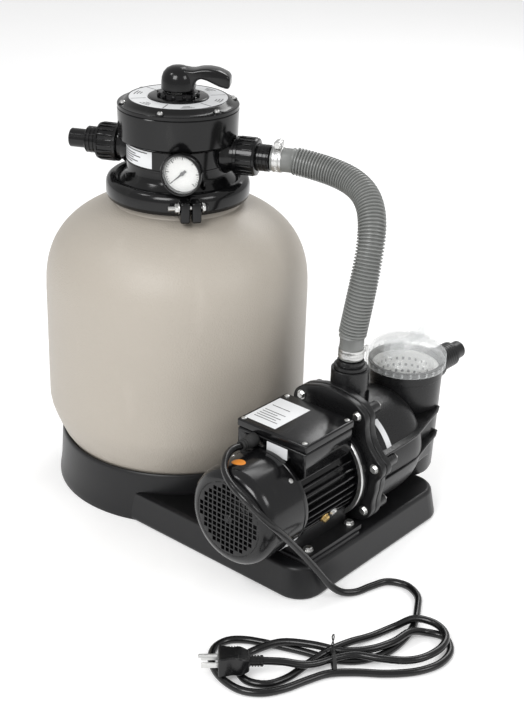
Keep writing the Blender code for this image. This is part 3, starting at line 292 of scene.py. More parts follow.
for subpart in frame["record"]["subparts"]:
    skin = frame["nodes"][subpart["node"]].data
    skin.materials.clear()
    skin.materials.append(bySlot[subpart["material_slot"]])
print("materials made")


# modelling helpers
def workOn(mode):
    bpy.ops.object.mode_set(mode=mode)


def dropSelection():
    if bpy.context.object and bpy.context.object.mode != "OBJECT":
        workOn("OBJECT")
    bpy.ops.object.select_all(action="DESELECT")


def choose(*objects):
    dropSelection()
    for obj in objects:
        obj.select_set(True)
    bpy.context.view_layer.objects.active = objects[0]


def settle(obj, place=None):
    # puts the piece in place and moves that place into its mesh
    choose(obj)
    if place is not None:
        obj.matrix_world = place @ obj.matrix_world
    bpy.ops.object.transform_apply(location=True, rotation=True, scale=True)
    return obj


def smooth(obj, angle=35):
    choose(obj)
    bpy.ops.object.shade_smooth_by_angle(angle=math.radians(angle))
    return obj


def applyAll(obj):
    choose(obj)
    for step in list(obj.modifiers):
        bpy.ops.object.modifier_apply(modifier=step.name)
    return obj


def roundEdges(obj, width, segments=3, angle=35):
    bevel = obj.modifiers.new("rounding", "BEVEL")
    bevel.width, bevel.segments, bevel.limit_method = width / 1000, segments, "ANGLE"
    bevel.angle_limit = math.radians(angle)
    return applyAll(obj)


def welded(obj, gap):
    # ends an edit: joins the points that meet and turns the faces outward
    bpy.ops.mesh.select_all(action="SELECT")
    bpy.ops.mesh.remove_doubles(threshold=gap / 1000)
    bpy.ops.mesh.normals_make_consistent(inside=False)
    workOn("OBJECT")
    return smooth(obj)


def lathe(profile, place=None, steps=64, closed=False):
    # a ring pulled along Z through (radius, height) points
    profile = [(max(across, 0.02) / 1000, high / 1000) for across, high in profile]
    radius, height = profile[0]
    dropSelection()
    bpy.ops.mesh.primitive_circle_add(vertices=steps, radius=radius, location=(0, 0, 0))
    obj = bpy.context.object
    workOn("EDIT")
    bpy.ops.mesh.select_mode(type="EDGE")
    bpy.ops.mesh.select_all(action="SELECT")
    bpy.ops.transform.translate(value=(0, 0, height))
    for nextRadius, nextHeight in profile[1:] + (profile[:1] if closed else []):
        bpy.ops.mesh.extrude_edges_move(TRANSFORM_OT_translate={"value": (0, 0, nextHeight - height)})
        ratio = nextRadius / radius
        bpy.ops.transform.resize(value=(ratio, ratio, 1))
        radius, height = nextRadius, nextHeight
    welded(obj, 0.06)
    return settle(obj, place)


def block(corner, opposite, edge=1, place=None, segments=3):
    dropSelection()
    low, high = (Vector(ends) for ends in zip(*(sorted(pair) for pair in zip(corner, opposite))))
    bpy.ops.mesh.primitive_cube_add(size=1, location=(low + high) / 2000)
    obj = bpy.context.object
    obj.scale = (high - low) / 1000
    settle(obj)
    if edge:
        roundEdges(obj, edge, segments)
    smooth(obj)
    return settle(obj, place)


def rod(start, end, radius, steps=24, edge=0.4):
    start, end = Vector(start), Vector(end)
    length = (end - start).length
    turn = (end - start).to_track_quat("Z", "Y").to_matrix().to_4x4()
    shape = [(0, 0), (radius - edge, 0), (radius, edge), (radius, length - edge), (radius - edge, length),
             (0, length)]
    return lathe(shape, at(start) @ turn, steps)


def plate(outline, low, high, edge=1, place=None, curved=False, resolution=10):
    # a flat shape filled and thickened along Z
    shape = bpy.data.curves.new("plate", "CURVE")
    shape.dimensions, shape.fill_mode = "2D", "BOTH"
    shape.extrude = ((high - low) / 2 - edge) / 1000
    shape.bevel_depth, shape.bevel_resolution, shape.offset = edge / 1000, 2, -edge / 1000
    shape.resolution_u = resolution
    if curved:
        line = shape.splines.new("BEZIER")
        line.bezier_points.add(len(outline) - 1)
        for point, (x, y) in zip(line.bezier_points, outline):
            point.co = (x / 1000, y / 1000, 0)
            point.handle_left_type = point.handle_right_type = "AUTO"
    else:
        line = shape.splines.new("POLY")
        line.points.add(len(outline) - 1)
        for point, (x, y) in zip(line.points, outline):
            point.co = (x / 1000, y / 1000, 0, 1)
    line.use_cyclic_u = True
    choose(shown("plate", shape))
    bpy.ops.object.convert(target="MESH")
    obj = bpy.context.object
    workOn("EDIT")
    welded(obj, 0.02)
    obj.location = (0, 0, (low + high) / 2000)
    settle(obj)
    return settle(obj, place)


def tubeCurve(name, points, radius, sides=4, swell=None):
    line = bpy.data.curves.new(name, "CURVE")
    line.dimensions = "3D"
    line.bevel_depth, line.bevel_resolution, line.use_fill_caps = radius / 1000, sides, True
    spline = line.splines.new("POLY")
    spline.points.add(len(points) - 1)
    for index, point in enumerate(points):
        spline.points[index].co = (*(point / 1000), 1)
        spline.points[index].radius = swell[index] if swell else 1.0
    return shown(name, line)


def ringOf(count, make, place=None, first=0):
    # the same piece at even steps round Z
    turns = [spun("Z", first + index * 360 / count) for index in range(count)]
    return [settle(make(), place @ turn if place else turn) for turn in turns]


def merged(*objects):
    choose(*objects)
    if len(objects) > 1:
        bpy.ops.object.join()
    return bpy.context.object


def carve(obj, *tools):
    for tool in tools:
        step = obj.modifiers.new("carve", "BOOLEAN")
        step.operation, step.solver, step.object = "DIFFERENCE", "EXACT", tool
        applyAll(obj)
        bpy.data.objects.remove(tool, do_unlink=True)
    return obj


def done(obj, name, key, *nodes, body="housing"):
    # names a piece, gives it its finish and hands it to the frame
    obj.name = name
    obj.data.name = name
    obj.data.materials.clear()
    obj.data.materials.append(mats[key])
    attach(obj, body)
    if nodes:
        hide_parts(*nodes)
    return obj


def smoothRoute(anchors, spacing):
    path = [2 * anchors[0] - anchors[1], *anchors, 2 * anchors[-1] - anchors[-2]]
    points = []
    for before, start, end, after in zip(path, path[1:], path[2:], path[3:]):
        steps = max(1, round((end - start).length / spacing))
        for index in range(steps):
            t = index / steps
            slope = (end - before) * t
            square = (2 * before - 5 * start + 4 * end - after) * t * t
            cube = (3 * start - before - 3 * end + after) * t**3
            points.append(0.5 * (2 * start + slope + square + cube))
    return [*points, anchors[-1]]


# frames that the pieces sit in
portTurn = 25.3
portHeight = 437.4
portWay = around(portTurn, 1)


def portFrame(degrees):
    return at((0, 0, portHeight)) @ spun("Z", degrees) @ spun("Y", 90)


gaugeFrame = at(portWay * 32.1 + Vector((0, 0, 433))) @ spun("Z", portTurn) @ spun("X", 90)
motorFrame = at((261, 0, 108)) @ spun("X", -90)
potFrame = at((261, 140, 0))
dischargeFrame = at((261, 22.5, 0))
suctionFrame = at((261, 0, 165)) @ spun("X", -90)
plugFrame = at((381.6, -268.1, 20.8)) @ spun("Z", 223.6)


def makeCord():
    cord = {
        "radius": 4.2,
        "lead": [
            (238, -147.3, 173.8), (238, -159, 175.8), (242, -174.5, 174.5), (255, -192.5, 169),
            (276, -204.5, 164), (296, -206.5, 156), (311, -202.5, 144), (321.5, -192, 127.5),
            (327, -175, 108), (330, -157, 86), (334, -140, 64), (339.5, -125, 42),
            (345.5, -111, 21), (354, -98.5, 8), (364, -83, 4.5), (370, -62, 4.5),
            (378.8, -40.8, 4.5), (400, -32, 4.5), (421.2, -40.8, 4.5), (434, -59, 4.5),
        ],
        "wraps": [  # three passes round the bundle: low, then over the waist, then high
            (448, -85, 4.5), (456, -112, 4.5), (458, -140, 4.5), (453, -164, 4.5),
            (440, -186, 4.5), (418, -201, 4.5), (388, -211, 4.5), (356, -224, 4.5),
            (330, -237, 4.5), (316, -252, 4.5), (315, -272, 4.5), (328, -290, 4.5),
            (352, -303, 4.5), (380, -305, 4.5), (401, -293, 4.5), (414, -272, 4.5),
            (423, -245, 4.5), (433, -222, 5), (452, -201, 4.5), (479, -179, 4.5),
            (500, -154, 4.5), (510, -127, 4.5), (506, -101, 4.5), (488, -85, 4.5),
            (469, -93, 6), (460, -113, 12.8), (457, -140, 12.9), (446, -168, 12.9),
            (426, -190, 12.9), (396, -203, 12.9), (368, -220, 11.5), (352, -240, 6),
            (348, -260, 4.5), (357, -280, 4.5), (376, -289, 4.5), (396, -279, 4.5),
            (405, -256, 4.5), (408, -229, 7), (415, -201, 12.9), (420, -170, 10),
            (427, -138, 4.5), (437, -108, 6), (450, -89, 12.9), (472, -81, 12.9),
            (492, -90, 12.9), (501, -111, 12.9), (498, -137, 12.9), (486, -157, 12.9),
            (462, -174, 12.9), (440, -186, 12.9), (427, -206, 12.9), (419, -225, 12.9),
            (410, -240, 15), (397, -253, 19), (381.6, -268.1, 20.8), (377.3, -272.2, 20.8),
        ],
    }
    route = smoothRoute([Vector(point) for point in cord["lead"] + cord["wraps"]], 5)
    length = sum((second - first).length for first, second in zip(route, route[1:])) / 1000
    line = tubeCurve("mainsCord", route, cord["radius"], 6)
    done(line, "mainsCord", "cord", "cord_lead", "cord_hank")
    print("cord length", round(length, 3))
    return line, length, tuple(round(value / 1000, 4) for value in cord["lead"][0]), cord["radius"] / 500


def makePlug():
    plug = {"body": (15, 47.8), "half": 12.8, "deep": 11.3}
    # body pulled from a cube: waisted grip, crowned back
    body = block((plug["body"][0], -plug["half"], -plug["deep"]),
                 (plug["body"][1], plug["half"], plug["deep"]), 0, None)
    choose(body)
    workOn("EDIT")
    bpy.ops.mesh.select_all(action="SELECT")
    bpy.ops.mesh.subdivide(number_cuts=9)
    workOn("OBJECT")
    start, end = plug["body"]
    for vertex in body.data.vertices:
        share = (vertex.co.x * 1000 - start) / (end - start)
        waist = 1 - 0.2 * math.exp(-(((share - 0.52) / 0.2) ** 2)) - 0.34 * max(0, 0.28 - share) / 0.28
        vertex.co.y *= waist
        vertex.co.z *= 1 - 0.3 * max(0, 0.35 - share) / 0.35
    roundEdges(body, 2.2, 4, 50)
    grips = [block((x, -11.6, plug["deep"] * 0.86), (x + 1.2, 11.6, plug["deep"] * 0.99), 0.4)
             for x in (26.5, 29.5, 32.5, 35.5)]
    relief = [(4.6, 0), (6, 0.8)]
    for index in range(5):
        high = 2 + index * 3
        relief += [(6.1, high), (6.1, high + 1.4), (5, high + 1.7), (5, high + 2.7)]
    relief += [(6.2, 17.2), (0, 17.2)]
    sleeve = lathe([(0, 0), *relief], spun("Y", 90), 24)
    body = merged(body, sleeve, *grips)
    settle(smooth(body, 40), plugFrame)
    done(body, "plugBody", "cord", "mains_plug")
    pins = [block((47.6, side - 0.8, -3.2), (65.5, side + 0.8, 3.2), 0.5) for side in (-6.4, 6.4)]
    earth = rod((47.6, 0, 7), (68.8, 0, 7), 2.3, 20, 0.9)
    blades = merged(*pins, earth)
    settle(blades, plugFrame)
    done(blades, "plugPins", "steel")
    tie = lathe([(17.2 + 0.9 * math.cos(a), 2.2 * math.sin(a)) for a in
                 (2 * math.pi * i / 10 for i in range(10))], None, 40, True)
    tie.scale = (1, 0.45, 1)
    across = at((425, -204, 9.1)) @ spun("Z", -46)
    settle(tie)
    settle(tie, across @ spun("X", 90))
    knot = (425, -204)
    ends = []
    for lean in (-1, 1):
        steps = [(knot[0] - 2 + lean * 1.1 * math.cos(k), knot[1] + 1 * lean * math.sin(k), 15 + k * 3.2)
                 for k in range(9)]
        ends += [rod(low, high, 0.7, 8, 0.1) for low, high in zip(steps, steps[1:])]
    tie = merged(tie, *ends)
    done(tie, "cordTie", "rubber")
    return body, blades, tie


mainsCord, cordLength, cordExit, cordWide = makeCord()
plugPieces = makePlug()
print("cord and plug made")


def makeTank():
    tank = {"radius": 165, "dome": 117.2, "start": 263, "power": 2.5}
    shape = [(0, 36.5), (122, 36.5), (127.2, 38.5), (132.5, 45), (141.4, 60.2), (149.2, 72.5)]
    shape += [(155.3, 86), (160.2, 98.5), (163.4, 108.5), (164.8, 117)]
    shape += [(165, 140), (165, 180), (165, 220), (165, 263)]
    for index in range(1, 29):
        share = 0.9334 * math.sin(index / 28 * math.pi / 2)
        radius = tank["radius"] * (1 - share ** tank["power"]) ** (1 / tank["power"])
        shape.append((radius - 0.2, tank["start"] + tank["dome"] * share))
    shape += [(77.2, 374.5), (75.5, 377), (75.5, 383.2), (75.7, 383.6), (79.3, 383.6), (79.5, 384)]
    shape += [(79.5, 390.2), (79, 390.5), (60, 390.5), (60, 360), (90, 356), (130, 330)]
    shape += [(160, 270), (160, 120), (138, 64), (120, 41), (0, 41)]
    done(lathe(shape, None, 128), "tankShell", "tank", "tank_shell")


def makeBase():
    base = {"x": (20, 335), "half": 144.5, "top": 40, "corner": 32, "draft": 6}
    wall = [(151.2, 0.3), (155.3, 0.3), (155.4, 3), (155.1, 6.5), (154.1, 12), (153.2, 19)]
    wall += [(152.5, 28), (151.9, 38), (151.4, 48), (151, 56), (150.7, 61)]
    wall += [(150.2, 64), (149, 65.5), (147, 65.8), (145.2, 64)]
    wall += [(143.2, 60), (129, 36.2), (0, 36), (0, 32.2), (150, 32.2)]
    skirt = lathe(wall, None, 128, False)
    deck = block((base["x"][0], -base["half"], 0.3), (base["x"][1], base["half"], base["top"]), 0)
    choose(deck)
    workOn("EDIT")
    bpy.ops.mesh.select_mode(type="EDGE")
    bpy.ops.mesh.select_all(action="DESELECT")
    workOn("OBJECT")
    corners = deck.data.vertices
    for edge in deck.data.edges:
        first, second = (corners[index].co for index in edge.vertices)
        edge.select = abs(first.z - second.z) > 0.01
    workOn("EDIT")
    bpy.ops.mesh.bevel(offset=base["corner"] / 1000, segments=12, affect="EDGES")
    workOn("OBJECT")
    middle = sum(base["x"]) / 2000
    squeeze = 1 - 2 * base["draft"] / (base["x"][1] - base["x"][0])
    for vertex in deck.data.vertices:
        if vertex.co.z > 0.01:  # only the top's corners, so that the walls lean in
            vertex.co.x = middle + (vertex.co.x - middle) * squeeze
            vertex.co.y *= 1 - base["draft"] / base["half"]
    roundEdges(deck, 4.5, 4, 50)
    recess = lathe([(0, 36.2), (150, 36.2), (150, 90), (0, 90)], None, 96)
    carve(deck, recess)
    inset = 12.5
    turns = [math.radians(90 * quarter + 9.9 * step + 0.4) for quarter in range(4) for step in range(10)]
    low, high = Vector((160, inset - base["half"])), Vector((base["x"][1] - inset, base["half"] - inset))
    bend = base["corner"] - inset
    ends = [(high.x if math.cos(a) > 0 else low.x, high.y if math.sin(a) > 0 else low.y, a) for a in turns]
    hollow = [(x - math.copysign(bend, x - 250) + bend * math.cos(a),
               y - math.copysign(bend, y) + bend * math.sin(a)) for x, y, a in ends]
    carve(deck, plate(hollow, -10, 34.5, 0.2))
    extras = [
        block((197, -123.5, 38.5), (325, -27.2, 45), 1.2),
        lathe([(0, 38), (20, 38), (19.5, 44.6), (0, 44.6)], at((261, 120, 0)), 40),
    ]
    done(merged(skirt, deck, *extras), "baseTray", "base", "base_tray")


def hexBolt(radius, high, shank, down):
    head = lathe([(0, high), (radius * 0.8, high), (radius, high * 0.8), (radius, 0), (0, 0)], None, 6)
    washer = lathe([(0, 0.6), (radius * 1.22, 0.6), (radius * 1.25, 0), (0, -0.2)], None, 24)
    stem = lathe([(0, 0), (shank, 0), (shank, -down), (0, -down)], None, 16)
    for face in head.data.polygons:
        face.use_smooth = False
    return merged(head, washer, stem)


def panScrew(radius, high):
    head = lathe([(0, high * 0.35), (radius * 0.36, high * 0.35), (radius * 0.36, high),
                  (radius * 0.62, high * 0.98),
                  (radius * 0.9, high * 0.66), (radius, 0), (0, 0)], None, 20)
    return head


def makeClamp():
    clamp = {"turn": -37.7, "radius": 88.5, "low": 379.5, "high": 406.2, "lug": 104.5}
    place = spun("Z", clamp["turn"])
    radius, low, high = clamp["radius"], clamp["low"], clamp["high"]
    band = [
        (76.8, low), (radius - 5, low), (radius - 2, low + 1.4), (radius - 0.5, low + 4.2),
        (radius, low + 8), (radius, high - 10), (radius - 0.6, high - 6.4),
        (radius - 2.2, high - 3), (radius - 4.8, high - 0.8), (radius - 7.4, high),
        (76.8, high), (76.8, 402), (80.3, 402), (80.3, 383.2), (76.8, 383.2),
    ]
    for side, word in ((1, "right"), (-1, "left")):
        half = lathe(band, None, 96, True)
        carve(half, block((-200, side, 300), (200, -399 * side, 500), 0))
        extras = []
        for end in (1, -1):
            near, far = end * (radius - 6), end * (clamp["lug"] - 1)
            extras.append(block((near, side * 1.2, low - 3), (far, side * 12.5, high - 4.5), 2.5))
            extras.append(block((end * (radius - 14), side * 12.5, low + 6),
                                (end * (radius + 3), side * 23, high - 10), 2.5))
        half = merged(half, *extras)
        settle(smooth(half), place)
        done(half, f"clampHalf{word.capitalize()}", "valve", f"clamp_half_{word}")
    for end, word in ((1, "front"), (-1, "rear")):
        reach = end * (clamp["lug"] - 7.5)
        shaft = rod((reach, -26.5, 394.5), (reach, 14, 394.5), 2.7, 16)
        rings = [rod((reach, y, 394.5), (reach, y + 0.5, 394.5), 2.9, 16, 0.1) for y in range(-26, -20)]
        bolt = hexBolt(5.2, 3.8, 2.7, 4)
        settle(bolt, at((reach, 13.8, 394.5)) @ spun("X", -90))
        bolt = merged(bolt, shaft, *rings)
        settle(bolt, place)
        done(bolt, f"clampBolt{word.capitalize()}", "steel", f"clamp_bolt_{word}")
        nut = hexBolt(5.6, 4.6, 3, 1)
        settle(nut, at((reach, -14, 394.5)) @ spun("X", 90))
        settle(nut, place)
        done(nut, f"clampNut{word.capitalize()}", "steel", f"clamp_nut_{word}")


def patch(radius, thick, angles, heights, place=None, steps=20):
    # a thin curved plate, swept from an upright strip
    dropSelection()
    bpy.ops.mesh.primitive_plane_add(size=1, location=(0, 0, 0))
    obj = bpy.context.object
    obj.scale = (thick / 1000, (heights[1] - heights[0]) / 1000, 1)
    obj.rotation_euler = (math.pi / 2, 0, 0)
    obj.location = ((radius + thick / 2) / 1000, 0, sum(heights) / 2000)
    settle(obj)
    settle(obj, spun("Z", angles[0]))
    choose(obj)
    workOn("EDIT")
    bpy.ops.mesh.select_all(action="SELECT")
    bpy.ops.mesh.spin(steps=steps, angle=math.radians(angles[0] - angles[1]), center=(0, 0, 0),
                      axis=(0, 0, 1))
    bpy.ops.mesh.select_all(action="SELECT")
    bpy.ops.mesh.normals_make_consistent(inside=False)
    workOn("OBJECT")
    smooth(obj, 40)
    return settle(obj, place)


def makeValve():
    valve = {"flange": (393.5, 401.5), "barrel": 62.5, "cup": 73.5, "cupZ": (454.5, 490.3)}
    low, high = valve["flange"]
    cup, barrel = valve["cup"], valve["barrel"]
    shape = [
        (16.3, 397.5), (21.5, 397.5), (21.5, 454.5), (53.5, 454.5), (53.5, low), (78.5, low),
        (79.5, low + 1), (79.5, high - 1), (78.5, high), (74, high), (71.5, 404),
        (65.5, 409), (63.2, 412.5), (barrel, 416), (barrel, 423.5), (barrel + 0.8, 424),
        (barrel + 0.8, 426.2), (barrel, 426.7), (barrel, 448.5), (barrel + 1.2, 450),
        (cup - 5.2, 451.6), (cup - 2.2, 452.8), (cup - 0.8, 454.6), (cup - 0.6, 460),
        (cup - 0.4, 476), (cup, 485), (cup, 489.4), (cup - 0.6, 490.2), (66.5, 490.3),
        (66, 489.8), (66, 460), (16.3, 460),
    ]
    body = lathe(shape, None, 128, True)
    spouts = []
    for angle in (portTurn, portTurn + 180, portTurn + 90):
        spout = [(15, 59), (23.8, 59), (23.2, 64), (20.6, 68), (20, 70),
                 (20, 83.8), (15, 83.8)]
        spouts.append(lathe(spout, portFrame(angle), 48, True))
    boss = lathe([(0, 56), (10.5, 56), (9.5, 60), (8.4, 60.6), (8.4, 64), (0, 64)],
                 gaugeFrame, 32)
    ribs = ringOf(4, lambda: block((barrel - 2, -1.4, 406), (barrel + 8, 1.4, 415.5), 0.7),
                  first=portTurn + 45)
    done(merged(body, boss, *spouts, *ribs), "valveBody", "valve", "valve_body")

    # plain band label on the barrel, with bars in place of its words
    left = -134
    done(patch(barrel + 0.1, 0.25, (left, left + 58), (427.8, 448.2), None, 24),
         "barrelLabel", "label")
    bars = [patch(barrel + 0.36, 0.08, (left + 3, left + start), (z, z + 1.2),
                  None, 20)
            for start, z in ((52, 445.2), (34, 441.2), (42, 438.4), (30, 435.6), (38, 432.6), (27, 430))]
    done(merged(*bars), "barrelLabelBars", "ink")

    top = {"low": 490.6}
    cover = [
        (8.5, top["low"]), (cup - 0.6, top["low"]), (cup, top["low"] + 0.6), (cup, 494.6),
        (cup - 0.8, 495.5), (68, 496.2), (65.2, 497.8), (62.2, 501.2), (60.8, 502),
        (60, 502), (59.8, 501.3), (36.5, 501.3), (36.3, 503), (35.2, 503.6), (25, 503.6),
        (24, 504.4), (23.6, 508), (23, 508.5), (8.5, 508.5),
    ]
    lid = lathe(cover, None, 128, True)
    spots = [around(portTurn + 30 + index * 60, 67.5) for index in range(6)]
    lugs = [lathe([(0, 493), (5.5, 493), (5.2, 497.2), (0, 497.2)], at(spot), 24) for spot in spots]
    lugs += ringOf(12, lambda: block((22.5, -2.2, 503.6), (26.2, 2.2, 507.8), 0.8))
    done(merged(lid, *lugs), "valveCover", "valve", "valve_cover")
    screws = [settle(panScrew(3.6, 2.6), at((spot.x, spot.y, 497.2))) for spot in spots]
    done(merged(*screws), "coverScrews", "steel")
    dial = lathe([(37, 501.35), (59.4, 501.35), (59.4, 501.65), (37, 501.65)], None, 96, True)
    done(dial, "positionDial", "label")
    marks = []
    for index in range(6):
        angle = portTurn + index * 60
        line = block((39.5, -0.5, 501.66), (57.5, 0.5, 501.76), 0)
        marks.append(settle(line, spun("Z", angle + 30)))
        for offset, turn in ((53.5, 9), (50, 7), (46.5, 5)):
            marks.append(patch(offset, 1.2, (angle - turn, angle + turn), (501.66, 501.76), None, 6))
    done(merged(*marks), "dialMarks", "ink")


def makeHandle():
    handle = {"turn": 35, "pin": 519, "half": 12.5}
    place = at((0, 0, handle["pin"])) @ spun("Z", handle["turn"])
    side = [
        (-8, -8.6), (18.5, -8.6), (21, 1), (26.2, 6.6), (34, 6),
        (44, 1.8), (54, -1.8), (61.5, -2), (63, 4), (61.8, 11.2),
        (54, 16.4), (42, 19.6), (30, 19.6), (18, 17.2), (4, 18), (-8, 15),
    ]
    stand = spun("X", 90)
    arm = plate(side, -handle["half"], handle["half"], 3, stand, True, 8)
    dome = lathe([(0, -8.6), (19, -8.6), (20.6, -7), (20.6, 1), (19.9, 7),
                  (17.8, 12.5), (14, 16.8), (9, 19.4), (4, 20.3), (0, 20.4)], None, 64)
    tools = [block((-11.5, -8.2, -20), (11.5, 8.2, 8.5), 0)]
    lever = merged(dome)
    lever.modifiers.new("join", "BOOLEAN")
    lever.modifiers["join"].operation, lever.modifiers["join"].solver = "UNION", "EXACT"
    lever.modifiers["join"].object = arm
    applyAll(lever)
    bpy.data.objects.remove(arm, do_unlink=True)
    carve(lever, *tools)
    smooth(lever, 32)
    settle(lever, place)
    done(lever, "valveHandle", "valve", "valve_handle", body="handle")
    pins = rod((0, -11.4, 0), (0, 11.4, 0), 2.4, 20)
    settle(pins, place)
    done(pins, "handlePin", "steel", "handle_pin", body="valve_core")


def makeGauge():
    gauge = {"radius": 25.3, "back": 64.3, "face": 89.5}
    radius, back, face = gauge["radius"], gauge["back"], gauge["face"]
    case = [
        (0, back), (6.2, back), (6.4, back + 5), (18, back + 5.8), (22.6, back + 8),
        (23.8, back + 12), (24, face - 6.2), (25, face - 5.6), (radius, face - 4.6),
        (radius, face - 1), (24.6, face), (23, face), (22.4, face - 1), (22.2, face - 4),
        (22.2, face - 9.5), (0, face - 9.5),
    ]
    done(lathe(case, gaugeFrame, 72), "gaugeCase", "valve", "gauge_case")
    nut = lathe([(0, back - 3.6), (8, back - 3.6), (8, back + 0.6), (0, back + 0.6)], gaugeFrame, 6)
    done(nut, "gaugeNut", "brass")
    dial = lathe([(0, face - 9.2), (21.8, face - 9.2), (21.8, face - 8.4), (0, face - 8.3)], gaugeFrame, 64)
    done(dial, "gaugeDial", "white", "gauge_dial")
    marks = []
    level = face - 8.28
    for index in range(31):
        long = index % 5 == 0
        inner = 16.5 if long else 18.2
        wide = 0.6 if long else 0.34
        tick = block((inner, -wide, level), (20.2, wide, level + 0.1), 0)
        marks.append(settle(tick, gaugeFrame @ spun("Z", 222 - index * 8.8)))
    marks.append(patch(20.3, 0.7, (-42, 222), (level, level + 0.1), gaugeFrame, 48))
    done(merged(*marks), "gaugeMarks", "ink")
    lens = [(0, face - 3.4), (22.1, face - 3.4), (22.1, face - 1.8), (12, face - 1.2), (0, face - 1)]
    done(lathe(lens, gaugeFrame, 64), "gaugeLens", "lens", "gauge_lens")
    point = plate([(-5.8, -1.7), (-5.8, 1.7), (0, 1.3), (16.5, 0.3), (16.5, -0.3), (0, -1.3)],
                  face - 7.7, face - 7.2, 0.1, None)
    cap = lathe([(0, face - 7.9), (2.4, face - 7.9), (2.4, face - 6.6), (0, face - 6.2)], None, 24)
    needle = merged(point, cap)
    settle(needle, gaugeFrame @ spun("Z", 222))
    done(needle, "gaugeNeedle", "ink", "gauge_needle", body="needle")


def adapterShape(collar, start, tailStart, tailEnd, tipEnd):
    bore, tail, tip = 9.5, 16.25, 11.6
    shape = [(bore, start), (collar - 0.4, start), (collar, start + 0.4), (collar, tailStart),
             (tail, tailStart)]
    high = tailStart + 2.2
    while high < tailEnd - 3:  # shallow grip rings
        shape += [(tail, high), (tail - 0.5, high + 0.5), (tail - 0.5, high + 1), (tail, high + 1.5)]
        high += 4.8
    shape += [(tail, tailEnd - 0.8), (tail - 0.8, tailEnd), (tip, tailEnd + 0.6), (tip, tipEnd - 0.8)]
    return shape + [(tip - 0.6, tipEnd), (bore, tipEnd)]


def makePorts():
    nut = {"low": 74.2, "high": 101.5, "radius": 23.5}
    low, high, radius = nut["low"], nut["high"], nut["radius"]
    shape = [
        (20.6, low), (radius - 1.2, low), (radius - 0.4, low + 0.8), (radius - 0.4, low + 4),
        (radius - 1.6, low + 4.6), (radius - 1.6, high - 4), (radius - 0.6, high - 3.4),
        (radius - 1.2, high - 0.8), (radius - 3, high), (16.9, high), (16.9, high - 4),
        (20.6, high - 4),
    ]
    for angle, word in ((portTurn, "pump"), (portTurn + 180, "return")):
        place = portFrame(angle)
        ring = lathe(shape, None, 64, True)
        grips = ringOf(20, lambda: block((radius - 2.2, -1.1, low + 4.2), (radius - 0.1, 1.1, high - 3.6),
                                         0.5))
        done(settle(merged(ring, *grips), place), f"{word}PortNut", "valve", f"{word}_port_nut")
        tail = lathe(adapterShape(20, 84.3, 97.2, 117, 139), place, 56, True)
        done(tail, f"{word}Adapter", "valve", f"{word}_adapter")
    cap = [(0, 84.5), (20.6, 84.5), (20.6, low), (radius - 0.6, low), (radius - 0.4, low + 0.8),
           (radius - 1.4, low + 1.4), (radius - 1.4, 88), (radius - 3.2, 89.8), (0, 89.8)]
    ring = lathe(cap, None, 64)
    grips = ringOf(20, lambda: block((radius - 2.2, -1.1, low + 1.2), (radius - 0.1, 1.1, 87.8), 0.5))
    done(settle(merged(ring, *grips), portFrame(portTurn + 90)), "wasteCap", "valve", "waste_cap")


